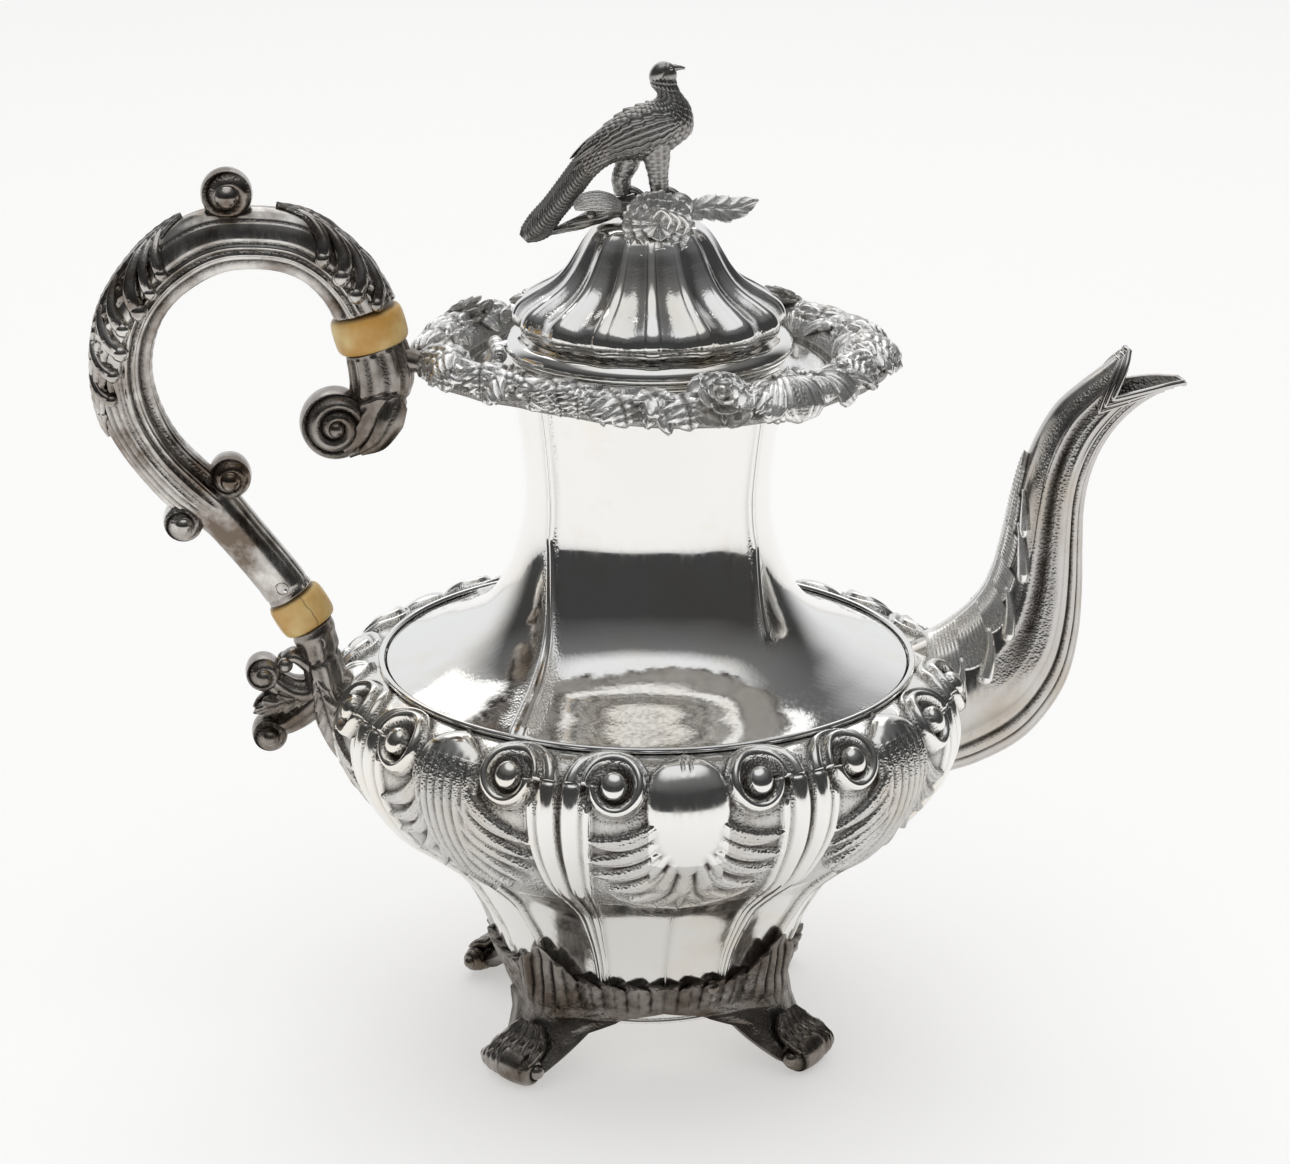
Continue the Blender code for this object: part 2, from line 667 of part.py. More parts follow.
def build_finial(dark):
    """Pheasant standing on a twig with a flower in front and a leaf to each side."""
    bird = station_skin("finial_bird", BIRD_STATIONS, dark, 12)
    crown = ball("crown", (3.9, 0.0, 258.0), 2.0, dark, 12, 6, (1.15, 1.1, 1.0))
    combine(bird, crown, "UNION")
    beak = rod("beak", (5.2, 0.0, 258.3), (9.0, 0.0, 258.3), 1.4, 0.3, dark, 10)
    combine(bird, beak, "UNION")
    for x_top, x_foot, y, z_foot in ((1.0, 2.6, -2.4, 228.0), (-5.8, -6.4, 2.2, 227.0)):
        leg = rod("leg", (x_top, y, 240.0), (x_foot, y, z_foot), 2.5, 1.5, dark, 10)
        combine(bird, leg, "UNION")

    twig = [
        ((-23.6, 217.9), 0.8), ((-20.4, 219.2), 1.7), ((-14.0, 221.2), 2.1),
        ((-9.0, 223.2), 2.4), ((-3.0, 224.2), 2.4), ((3.0, 224.2), 2.4), ((8.0, 222.8), 2.0),
        ((10.8, 221.6), 1.0),
    ]
    rings = []
    for (x, z), radius in twig:
        rings.append(station_ring((x, z + radius), (x, z - radius), radius * 1.15, 10))
    skin("finial_branch", rings, dark)

    # Flower: a frilled disc leaning forwards over the front of the lid.
    rings = []
    tilt = Matrix.Rotation(math.radians(62.0), 3, "X")
    place = Vector((0.6, -12.4, 220.6))
    for radius, lift in ((1.0, 3.2), (3.4, 3.0), (6.2, 1.4), (8.0, 0.2), (7.8, -0.8), (3.0, -1.4)):
        ring = []
        for index in range(30):
            turn = 2.0 * math.pi * index / 30
            frill = radius * (1.0 + (0.07 if index % 2 else -0.03) * (radius > 6.0))
            point = Vector((frill * math.cos(turn), frill * math.sin(turn), lift))
            ring.append(tuple(tilt @ point + place))
        rings.append(ring)
    flower = skin("finial_flower", rings, dark)
    room = skin("room", [
        station_ring((x, z + radius + 0.4), (x, z - radius - 0.4), radius * 1.15 + 0.4, 10)
        for (x, z), radius in twig
    ], dark)
    combine(flower, room, "DIFFERENCE")
    dome = [(radius + GAP, z + 0.2) for radius, z in DOME_PROFILE] + [(1.6, DOME_TOP_Z + GAP)]
    combine(flower, turned_solid("room", dome, dark), "DIFFERENCE")

    for name, points, width in (
        ("finial_leaf_left", [(-8.6, 225.0), (-12.0, 225.6), (-16.0, 224.8), (-19.4, 223.2)], 3.2),
        ("finial_leaf_right", [(10.4, 222.8), (15.2, 223.4), (20.4, 222.6), (26.0, 224.8)], 4.6),
    ):
        rings = []
        for index, (x, z) in enumerate(points):
            scale = (0.55, 1.0, 0.8, 0.12)[index]
            rings.append(station_ring((x, z + 0.7), (x, z - 0.7), width * scale, 8))
        leaf = skin(name, rings, dark)
        leaf.data.transform(Matrix.Translation((0.0, -4.0 * MM, 0.0)))
        fill = skin("room", [
            station_ring((x, z + radius + 0.4), (x, z - radius - 0.4), radius * 1.15 + 0.4, 10)
            for (x, z), radius in twig
        ], dark)
        combine(leaf, fill, "DIFFERENCE")


# ---------------------------------------------------------------- spout
def build_spout(silver):
    """Hollow swan-neck spout, its leaf at the root and the bead round its mouth."""
    sides = 12
    outer = [station_ring(a, b, width, sides) for a, b, width in SPOUT_STATIONS]
    inner = [station_ring(a, b, width, sides, SPOUT_WALL) for a, b, width in SPOUT_STATIONS]
    points = [point for ring in outer + inner for point in ring]
    rows = len(outer)
    shift = rows * sides
    faces = []
    for row in range(rows - 1):
        for index in range(sides):
            after = (index + 1) % sides
            a = row * sides + index
            b = row * sides + after
            c = b + sides
            d = a + sides
            faces.append((a, b, c, d))
            faces.append((shift + a, shift + d, shift + c, shift + b))
    for row in (0, rows - 1):
        for index in range(sides):
            after = (index + 1) % sides
            a = row * sides + index
            b = row * sides + after
            faces.append((a, shift + a, shift + b, b))
    spout = make_object("spout", points, faces, silver)
    combine(spout, body_room(silver), "DIFFERENCE")

    # The leaf lies on the upper side of the root.
    rings = []
    for index in (1, 2, 3, 4, 5, 6):
        a, b, width = SPOUT_STATIONS[index]
        reach = (0.5, 0.74, 0.78, 0.66, 0.5, 0.24)[index - 1]
        ring = []
        upper = Vector((a[0], 0.0, a[1]))
        lower = Vector((b[0], 0.0, b[1]))
        centre = (upper + lower) / 2.0
        half = (upper - lower) / 2.0
        steps = 8
        for layer, swell in ((1, 1.6), (0, 0.35)):
            for step in range(steps + 1):
                part = -1.0 + 2.0 * step / steps
                if layer == 0:
                    part = -part
                turn = part * reach * math.radians(80.0)
                unit = half.normalized() * math.cos(turn)
                point = centre + half * math.cos(turn) + unit * swell
                point.y = (width + swell) * math.sin(turn)
                ring.append(tuple(point))
        rings.append(ring)
    skin("spout_root_leaf", rings, silver)


def body_room(material):
    """The lower body and shoulder as one solid, swollen by the clearance, for cutting."""
    profile = [(66.0, 107.4)] + [
        (70.2, 105.6), (72.0, 103.6),
    ] + LOWER_PROFILE[1:]
    def shape(angle, radius, z, index):
        if index < 3:
            return radius, z
        lift = GAP * 0.6 if z > 90.0 else 0.0
        return radius + body_relief(angle, z) + GAP, z + lift

    return turned_solid(
        "room", profile, material, BODY_SEGMENTS, shape, start=PANEL_ANGLE / 2.0
    )


def spout_bore_solid(material):
    """The spout's inside, used to open the body wall behind it."""
    stations = [((60.0, 96.0), (60.0, 70.0), 11.0)]
    for index in range(0, 3):
        a, b, width = SPOUT_STATIONS[index]
        top = Vector(a).lerp(Vector(b), 0.14)
        bottom = Vector(b).lerp(Vector(a), 0.14)
        stations.append((tuple(top), tuple(bottom), width - 3.0))
    return station_skin("bore", stations, material, 20)


# ---------------------------------------------------------------- handle
def axis_of(stations, end):
    """Centre and outward direction of one end of a run of stations."""
    first = stations[0] if end == "start" else stations[-1]
    second = stations[1] if end == "start" else stations[-2]
    centre = (Vector(first[0]) + Vector(first[1])) / 2.0
    before = (Vector(second[0]) + Vector(second[1])) / 2.0
    edge = (Vector(first[0]) - Vector(first[1])).normalized()
    normal = Vector((edge[1], -edge[0]))
    if normal.dot(centre - before) < 0.0:
        normal = -normal
    return centre, normal


def build_handle(silver, ivory):
    grip = station_skin("handle_grip", GRIP_STATIONS, silver, 10)
    for label, (x, z, radius) in (
        ("thumb", THUMB_SCROLL), ("inner", INNER_VOLUTE), ("outer", OUTER_VOLUTE)
    ):
        width = 6.4 if label == "thumb" else 7.4
        combine(grip, roll(label, x, z, radius, width, silver), "UNION")

    upper = station_skin("handle_upper_socket", UPPER_SOCKET_STATIONS, silver, 12)
    combine(upper, roll("scroll", *UPPER_SCROLL, 8.2, silver), "UNION")
    lug = block("lug", (-63.4, -5.0, 181.8), (-59.9, 5.0, 189.2), silver)
    combine(upper, lug, "UNION")

    lower = station_skin("handle_lower_socket", LOWER_SOCKET_STATIONS, silver, 12)
    rings = []
    for index, ((x, z), radius) in enumerate(FROND):
        before = FROND[max(index - 1, 0)][0]
        after = FROND[min(index + 1, len(FROND) - 1)][0]
        along = Vector((after[0] - before[0], after[1] - before[1])).normalized() * radius
        rings.append(station_ring(
            (x - along[1], z + along[0]), (x + along[1], z - along[0]), radius * 1.3, 10
        ))
    combine(lower, skin("frond", rings, silver), "UNION")
    combine(lower, body_room(silver), "DIFFERENCE")

    for place, socket, end_stations, end, hold, size in (
        ("upper", upper, UPPER_SOCKET_STATIONS, "start", "start", 9.4),
        ("lower", lower, LOWER_SOCKET_STATIONS, "start", "end", 7.5),
    ):
        socket_centre, socket_out = axis_of(end_stations, end)
        grip_centre, grip_out = axis_of(GRIP_STATIONS, hold)
        start = Vector((socket_centre[0], 0.0, socket_centre[1]))
        finish = Vector((grip_centre[0], 0.0, grip_centre[1]))
        along = (finish - start).normalized()
        depth = 6.0
        sides = 16
        # Ivory ring with a bulging rim and a tenon each way.
        pieces = [
            (start - along * depth, 3.6), (start + along * 0.15, 3.6),
        ]
        length = (finish - start).length
        pieces += [
            (start + along * 0.2, size - 1.4), (start + along * 1.4, size - 0.3),
            (start + along * (length / 2.0), size),
            (start + along * (length - 1.4), size - 0.3),
            (start + along * (length - 0.2), size - 1.4),
            (finish - along * 0.15, 3.6), (finish + along * depth, 3.6),
        ]
        across = Vector((along.z, 0.0, -along.x))
        rings = []
        for centre, radius in pieces:
            ring = []
            for index in range(sides):
                turn = 2.0 * math.pi * index / sides
                width = radius if radius < 4.0 else radius - 1.1
                ring.append(tuple(
                    centre + across * (radius * math.cos(turn))
                    + Vector((0.0, width * math.sin(turn), 0.0))
                ))
            rings.append(ring)
        insulator = skin(f"handle_{place}_insulator", rings, ivory)

        for holder, base, direction in ((socket, start, -along), (grip, finish, along)):
            # Trim the silver end square to the ring, then bore it for the tenon.
            slab_low = base - direction * 12.0
            slab = rod("slab", slab_low, base + direction * 0.15, 14.0, 14.0, silver, 24)
            combine(holder, slab, "DIFFERENCE")
            bore = rod(
                "bore", base - direction * 2.0, base + direction * (depth + 0.6),
                3.6 + GAP, 3.6 + GAP, silver, 20,
            )
            combine(holder, bore, "DIFFERENCE")
            pin_at = base + direction * 3.4
            hole = rod(
                "hole", pin_at - Vector((0.0, 16.0, 0.0)), pin_at + Vector((0.0, 16.0, 0.0)),
                1.15, 1.15, silver, 12,
            )
            combine(holder, hole, "DIFFERENCE")
            drill = rod(
                "drill", pin_at - Vector((0.0, 16.0, 0.0)), pin_at + Vector((0.0, 16.0, 0.0)),
                1.15, 1.15, silver, 12,
            )
            combine(insulator, drill, "DIFFERENCE")
            label = "socket" if holder is socket else "grip"
            reach = 5.6 if place == "lower" else 6.2
            rod(
                f"handle_{place}_{label}_pin",
                pin_at - Vector((0.0, reach, 0.0)), pin_at + Vector((0.0, reach, 0.0)),
                0.85, 0.85, silver, 12,
            )


def gather(name, location, prefixes):
    """Hangs the pieces whose names start with one of the prefixes on an empty."""
    holder = bpy.data.objects.new(name, None)
    bpy.context.scene.collection.objects.link(holder)
    holder.location = location
    bpy.context.view_layer.update()
    for piece in bpy.data.objects:
        if piece.type == "MESH" and piece.parent is None and piece.name.startswith(prefixes):
            piece.parent = holder
            piece.matrix_parent_inverse = holder.matrix_world.inverted()


def main():
    for item in list(bpy.data.objects):
        bpy.data.objects.remove(item)
    silver = principled("silver", (0.86, 0.85, 0.83), 1.0, 0.16)
    dark = principled("oxidised_silver", (0.52, 0.50, 0.47), 1.0, 0.3)
    ivory = principled("ivory", (0.86, 0.74, 0.48), 0.0, 0.35)

    build_body(silver, spout_bore_solid(silver))
    for name, direction, side in (
        ("foot_front_left", -APRON_ANGLE, 1.0),
        ("foot_front_right", APRON_ANGLE, -1.0),
        ("foot_rear_right", 180.0 - APRON_ANGLE, 1.0),
        ("foot_rear_left", 180.0 + APRON_ANGLE, -1.0),
    ):
        build_foot(name, direction, side, dark)
    build_collar(silver)
    build_hinge(silver)
    build_lid(silver)
    build_finial(dark)
    build_spout(silver)
    build_handle(dark, ivory)

    gather("lid_axis", (HINGE_X * MM, 0.0, HINGE_Z * MM), ("lid_", "finial_"))
    gather("pot_axis", (0.0, 0.0, 0.0), ("",))
    for piece in bpy.data.objects:
        if piece.type == "MESH":
            piece.data.shade_smooth()
            piece.data.set_sharp_from_angle(angle=math.radians(35.0))


main()
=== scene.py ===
"""Looks of the silver coffee pot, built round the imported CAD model.

The pot's axis is the Z axis, the spout points to +X, the handle to -X and the front faces -Y.
Sizes below are in millimetres and are scaled by MM when a mesh is made. Angles round the pot
are in degrees from the front, growing towards the spout. Every piece is a closed form made of
grids of points; chased work is a height laid on the plain shape underneath.
"""

import math

import bpy
import numpy as np
from mathutils import Matrix, Vector


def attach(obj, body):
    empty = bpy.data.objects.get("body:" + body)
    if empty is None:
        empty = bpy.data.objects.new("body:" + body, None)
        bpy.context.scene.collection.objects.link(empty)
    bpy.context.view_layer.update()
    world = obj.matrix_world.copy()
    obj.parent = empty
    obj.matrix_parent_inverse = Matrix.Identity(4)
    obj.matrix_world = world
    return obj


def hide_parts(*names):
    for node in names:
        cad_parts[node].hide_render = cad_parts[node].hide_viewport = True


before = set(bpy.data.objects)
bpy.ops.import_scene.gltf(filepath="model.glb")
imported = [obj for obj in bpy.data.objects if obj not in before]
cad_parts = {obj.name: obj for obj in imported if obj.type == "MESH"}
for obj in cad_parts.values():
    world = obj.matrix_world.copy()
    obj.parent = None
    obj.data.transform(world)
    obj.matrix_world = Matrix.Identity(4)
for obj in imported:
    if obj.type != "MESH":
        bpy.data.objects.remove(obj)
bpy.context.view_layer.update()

MM = 0.001


# ---------------------------------------------------------------- small maths
def spline(points, count):
    """A smooth run through points, resampled to evenly spaced rows."""
    points = np.asarray(points, float)
    padded = np.vstack([2 * points[0] - points[1], points, 2 * points[-1] - points[-2]])
    pieces = []
    for index in range(len(points) - 1):
        p0, p1, p2, p3 = padded[index:index + 4]
        t = np.linspace(0.0, 1.0, 24, endpoint=index == len(points) - 2)[:, None]
        pieces.append(0.5 * (
            2 * p1 + (p2 - p0) * t + (2 * p0 - 5 * p1 + 4 * p2 - p3) * t ** 2
            + (3 * p1 - p0 - 3 * p2 + p3) * t ** 3
        ))
    run = np.vstack(pieces)
    travelled = lengths(run)
    wanted = np.linspace(0.0, travelled[-1], count)
    return np.stack([np.interp(wanted, travelled, run[:, k]) for k in range(run.shape[1])], axis=1)


def lengths(run):
    """Distance travelled along a run, at each of its points."""
    return np.concatenate([[0.0], np.cumsum(np.linalg.norm(np.diff(run, axis=0), axis=1))])


def table(value, *pairs):
    """Reads a value from (x, y) pairs."""
    x, y = zip(*pairs)
    return np.interp(value, x, y)


def bump(distance, width):
    """A soft ridge, 1 at distance 0."""
    return np.exp(-(distance / width) ** 2)


def smooth(value, low, high):
    """An eased step from 0 at low to 1 at high."""
    t = np.clip((value - low) / (high - low), 0.0, 1.0)
    return t * t * (3.0 - 2.0 * t)


def polar(radius, angle, z):
    """Points at an angle round the pot's axis, in degrees from the front."""
    turn = np.radians(angle)
    radius, turn, z = np.broadcast_arrays(radius, turn, z)
    return np.stack([radius * np.sin(turn), -radius * np.cos(turn), z], axis=-1)


def unit(vector):
    """The same direction with length 1."""
    vector = np.asarray(vector, float)
    return vector / np.maximum(np.linalg.norm(vector, axis=-1, keepdims=True), 1e-9)


def full_turn(columns):
    """One row of evenly spaced angles in degrees, from 0 up to but not including 360."""
    return (np.arange(columns) * 360.0 / columns)[None, :]


def folded(turn):
    """An angle in degrees folded onto 0 to 180, so that both sides of a form match."""
    return np.abs((turn + 180.0) % 360.0 - 180.0)


def column(count):
    """One column of places from 0 to 1."""
    return np.linspace(0.0, 1.0, count)[:, None]


def hollows(height, strength=0.9):
    """How far each point lies below its surroundings, from 0 to 1: where tarnish stays."""
    blurred = height.astype(float)
    for step in (1, 2, 4):
        for _ in range(3):
            blurred = 0.5 * blurred + 0.125 * (
                np.roll(blurred, step, 0) + np.roll(blurred, -step, 0)
                + np.roll(blurred, step, 1) + np.roll(blurred, -step, 1)
            )
    return np.clip((blurred - height) * strength, 0.0, 1.0)


# ---------------------------------------------------------------- mesh building
class Form:
    """Collects closed grids of points in millimetres and makes one mesh of them."""

    def __init__(self):
        """Starts with no points."""
        self.points = []
        self.quads = []
        self.triangles = []
        self.recess = []
        self.count = 0

    def grid(self, points, recess=0.0, loop=False):
        """Adds rows of closed rings; loop joins the last row to the first, else both are capped."""
        rows, columns = points.shape[:2]
        index = np.arange(rows * columns).reshape(rows, columns) + self.count
        after = np.roll(index, -1, axis=1)
        if loop:
            below = np.roll(index, -1, axis=0)
            below_after = np.roll(after, -1, axis=0)
            quads = np.stack([index, after, below_after, below], axis=-1).reshape(-1, 4)
        else:
            quads = np.stack(
                [index[:-1], after[:-1], after[1:], index[1:]], axis=-1
            ).reshape(-1, 4)
        flat = points.reshape(-1, 3)
        values = np.broadcast_to(recess, (rows, columns)).reshape(-1)
        triangles = np.zeros((0, 3), int)
        if not loop:
            hubs = np.array([points[0].mean(0), points[-1].mean(0)])
            flat = np.vstack([flat, hubs])
            values = np.concatenate([values, [values[0], values[-1]]])
            first = self.count + rows * columns
            top = np.stack([np.full(columns, first), after[0], index[0]], axis=-1)
            end = np.stack([np.full(columns, first + 1), index[-1], after[-1]], axis=-1)
            triangles = np.vstack([top, end])
        corner = flat[quads - self.count]
        volume = np.einsum(
            "ij,ij->i", corner[:, 0], np.cross(corner[:, 1], corner[:, 2])
        ).sum() + np.einsum("ij,ij->i", corner[:, 0], np.cross(corner[:, 2], corner[:, 3])).sum()
        if len(triangles):
            ends = flat[triangles - self.count]
            volume += np.einsum("ij,ij->i", ends[:, 0], np.cross(ends[:, 1], ends[:, 2])).sum()
        if volume < 0.0:
            quads = quads[:, ::-1]
            triangles = triangles[:, ::-1]
        self.points.append(flat)
        self.quads.append(quads)
        self.triangles.append(triangles)
        self.recess.append(values)
        self.count += len(flat)

    def tube(self, path, radii, columns=16, across=(0.0, 1.0, 0.0), flat=1.0, relief=None,
             loop=False):
        """A round or oval tube along a path; relief adds to the radius."""
        path = np.asarray(path, float)
        rows = len(path)
        if loop:
            along = unit(np.roll(path, -1, axis=0) - np.roll(path, 1, axis=0))
        else:
            along = unit(np.gradient(path, axis=0))
        side = unit(np.cross(along, np.broadcast_to(across, along.shape)))
        other = np.cross(side, along)
        turn = np.linspace(0.0, 2 * math.pi, columns, endpoint=False)
        radius = np.broadcast_to(np.asarray(radii, float).reshape(-1, 1), (rows, columns)).copy()
        recess = 0.0
        if relief is not None:
            radius = radius + relief
            recess = hollows(relief, 2.0)
        ring = (
            path[:, None, :]
            + side[:, None, :] * (radius * np.cos(turn))[..., None]
            + other[:, None, :] * (radius * flat * np.sin(turn))[..., None]
        )
        self.grid(ring, recess, loop)

    def ball(self, centre, size, rows=12, columns=20, ripple=0.0, count=8, axis=(0, 0, 1)):
        """A ball or egg, ribbed from pole to pole when ripple is given."""
        size = np.broadcast_to(size, 3)
        lift = np.linspace(0.04, math.pi - 0.04, rows)[:, None]
        turn = np.linspace(0.0, 2 * math.pi, columns, endpoint=False)[None, :]
        ribs = 1.0 + ripple * np.cos(turn * count)
        local = np.stack([
            size[0] * ribs * np.sin(lift) * np.cos(turn),
            size[1] * ribs * np.sin(lift) * np.sin(turn),
            size[2] * np.cos(lift) * np.ones_like(turn),
        ], axis=-1)
        turned = np.array(Vector((0, 0, 1)).rotation_difference(Vector(axis)).to_matrix())
        recess = 0.7 * np.clip(0.5 - 0.5 * np.cos(turn * count), 0, 1) * (ripple > 0)
        self.grid(local @ turned.T + np.asarray(centre, float), recess)

    def leaf(self, spine, normal, width, shape=None, teeth=0, cut=0.25, arch=0.5, ribs=0.0,
             veins=0.0, thick=0.6, rows=26, columns=13, midrib=0.0, twist=0.0):
        """A closed leaf or petal along a spine; width is half its widest part.

        Teeth cut its edge, ribs run along it, veins leave the midrib, and twist is in degrees.
        """
        path = spline(spine, rows)
        t = np.linspace(0.0, 1.0, rows)
        along = unit(np.gradient(path, axis=0))
        side = unit(np.cross(along, np.broadcast_to(unit(normal), along.shape)))
        up = np.cross(side, along)
        if twist:
            angle = np.radians(twist) * t[:, None]
            side, up = (
                side * np.cos(angle) + up * np.sin(angle),
                up * np.cos(angle) - side * np.sin(angle),
            )
        shape = shape or ((0, 0.3), (0.15, 0.72), (0.4, 1.0), (0.7, 0.82), (0.9, 0.42), (1, 0.04))
        half = width * table(t, *shape)
        if teeth:
            half = half * (1.0 - cut + cut * ((t * teeth) % 1.0) ** 0.8 * 1.6)
        u = np.linspace(-1.0, 1.0, columns)[None, :]
        down = t[:, None]
        rise = arch * half[:, None] * (1.0 - u ** 2)
        ripple = np.zeros((rows, columns))
        if ribs:
            ripple += ribs * 0.22 * np.cos(2 * math.pi * u * 3.0) * np.sin(math.pi * down) ** 0.5
        if veins:
            number = teeth or 6
            ripple += veins * 0.22 * np.cos(
                2 * math.pi * (down * number - 1.1 * np.abs(u))
            ) * np.minimum(np.abs(u) * 3.0, 1.0)
        if midrib:
            ripple -= midrib * bump(u, 0.13)
        top = (
            path[:, None, :] + side[:, None, :] * (half[:, None] * u)[..., None]
            + up[:, None, :] * (rise + ripple)[..., None]
        )
        under = (
            path[:, None, :] + side[:, None, :] * (half[:, None] * u * 0.92)[..., None]
            + up[:, None, :] * (rise - thick)[..., None]
        )
        ring = np.concatenate([top, under[:, ::-1]], axis=1)
        hollow = np.clip(-ripple * 2.0, 0.0, 1.0)
        recess = np.concatenate([hollow, np.full((rows, columns), 0.5)], axis=1)
        self.grid(ring, recess)

    def flower(self, centre, axis, radius, petals=5, lift=0.25, width=0.42, ribs=0.6, start=0.0,
               droop=0.0, heart=0.2):
        """Petals round a small ball."""
        axis = unit(axis)
        first = unit(np.cross(axis, (0.3, 0.2, 0.93) if abs(axis[2]) < 0.9 else (1, 0, 0)))
        second = np.cross(axis, first)
        centre = np.asarray(centre, float)
        for index in range(petals):
            turn = 2 * math.pi * (index + start) / petals
            out = first * math.cos(turn) + second * math.sin(turn)
            self.leaf(
                [centre + out * radius * 0.08, centre + out * radius * 0.55 + axis * lift * radius,
                 centre + out * radius + axis * (lift - droop) * radius],
                axis, radius * width, ((0, 0.25), (0.35, 0.75), (0.7, 1), (0.9, 0.8), (1, 0.3)),
                arch=-0.35, ribs=ribs, thick=0.45, rows=12, columns=9,
            )
        if heart:
            self.ball(centre + axis * radius * 0.2, radius * heart, 8, 12)

    def frill(self, centre, axis, radius, waves, depth, cup, thick, start):
        """A frilled disc of petals, like one layer of a carnation."""
        axis = unit(axis)
        first = unit(np.cross(axis, (0.3, 0.2, 0.93)))
        second = np.cross(axis, first)
        columns = waves * 10
        part = np.linspace(0.1, 1.0, 12)[:, None]
        turn = np.linspace(0.0, 2 * math.pi, columns, endpoint=False)[None, :] + start
        wave = np.cos(turn * waves)
        fine = np.cos(turn * waves * 3 + 1.0)
        reach = radius * part * (1.0 + 0.06 * np.abs(wave) * part + 0.025 * fine * part ** 3)
        height = cup * radius * part ** 2 + depth * part ** 1.5 * wave + 0.10 * fine * part
        flat = (
            np.asarray(centre, float) + (reach * np.cos(turn))[..., None] * first
            + (reach * np.sin(turn))[..., None] * second
        )
        top = flat + height[..., None] * axis
        under = flat + (height - thick)[..., None] * axis
        recess = np.clip(0.35 - 0.35 * fine - 0.35 * part, 0, 1) * np.ones_like(top[..., 0])
        self.grid(np.concatenate([top, under[::-1]]), np.concatenate([recess, recess[::-1]]))

    def revolved(self, profile, columns, height=None, recess=None):
        """Turns a closed loop of (radius, z) round the pot's axis; height lifts it outwards."""
        profile = np.asarray(profile, float)
        radius = np.broadcast_to(profile[:, 0:1], (len(profile), columns))
        z = np.broadcast_to(profile[:, 1:2], radius.shape)
        values = 0.0
        if height is not None:
            along = np.gradient(profile, axis=0)
            normal = unit(np.stack([along[:, 1], -along[:, 0]], axis=1))
            rows = np.abs(height).max(axis=1) > 0
            if (normal[rows, 0]).mean() < 0.0:
                normal = -normal
            radius = radius + normal[:, 0:1] * height
            z = z + normal[:, 1:2] * height
            values = recess if recess is not None else hollows(height)
        self.grid(polar(radius, full_turn(columns), z), values, loop=True)

    def make(self, name, material, body, cad_node):
        """Makes the mesh, which rides on a body and takes the place of one CAD node."""
        mesh = bpy.data.meshes.new(name)
        points = np.vstack(self.points) * MM
        faces = [tuple(face) for face in np.vstack(self.quads).tolist()]
        faces += [tuple(face) for face in np.vstack(self.triangles).tolist()]
        mesh.from_pydata(points.tolist(), [], faces)
        mesh.materials.append(material)
        mesh.shade_smooth()
        values = mesh.attributes.new("recess", "FLOAT", "POINT")
        values.data.foreach_set("value", np.concatenate(self.recess).astype(np.float32))
        piece = bpy.data.objects.new(name, mesh)
        bpy.context.scene.collection.objects.link(piece)
        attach(piece, body)
        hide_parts(cad_node)


# ---------------------------------------------------------------- materials
def node(tree, kind, **values):
    """A new node; values go to its sockets, or to its settings where no socket has that name."""
    made = tree.nodes.new(kind)
    for name, value in values.items():
        if name in made.inputs:
            made.inputs[name].default_value = value
        else:
            setattr(made, name, value)
    return made


def remap(tree, source, lows, highs, **settings):
    """Maps a value from the range lows[0]..highs[0] to lows[1]..highs[1]."""
    made = node(tree, "ShaderNodeMapRange", **settings)
    made.inputs["From Min"].default_value, made.inputs["To Min"].default_value = lows
    made.inputs["From Max"].default_value, made.inputs["To Max"].default_value = highs
    tree.links.new(source, made.inputs["Value"])
    return made.outputs["Result"]


def combined(tree, operation, first, second, **settings):
    """A maths node on two values."""
    made = node(tree, "ShaderNodeMath", operation=operation, **settings)
    tree.links.new(first, made.inputs[0])
    tree.links.new(second, made.inputs[1])
    return made.outputs["Value"]


def blend(tree, part, first, second):
    """Mixes two colours by part; each colour is a fixed colour or a socket."""
    made = node(tree, "ShaderNodeMix", data_type="RGBA")
    tree.links.new(part, made.inputs["Factor"])
    for name, colour in (("A", first), ("B", second)):
        if isinstance(colour, tuple):
            made.inputs[name].default_value = (*colour, 1.0)
        else:
            tree.links.new(colour, made.inputs[name])
    return made.outputs["Result"]


def texture(tree, kind, vector, output, **values):
    """A procedural texture read at the given place."""
    made = node(tree, kind, **values)
    tree.links.new(vector, made.inputs["Vector"])
    return made.outputs[output]


def raised(tree, height, strength, distance, below=None):
    """A bump on top of the bumps below it."""
    made = node(tree, "ShaderNodeBump", Strength=strength, Distance=distance)
    tree.links.new(height, made.inputs["Height"])
    if below is not None:
        tree.links.new(below, made.inputs["Normal"])
    return made.outputs["Normal"]


def new_material(name):
    """A material with its node tree and its Principled BSDF."""
    material = bpy.data.materials.new(name)
    material.use_nodes = True
    return material, material.node_tree, material.node_tree.nodes["Principled BSDF"]


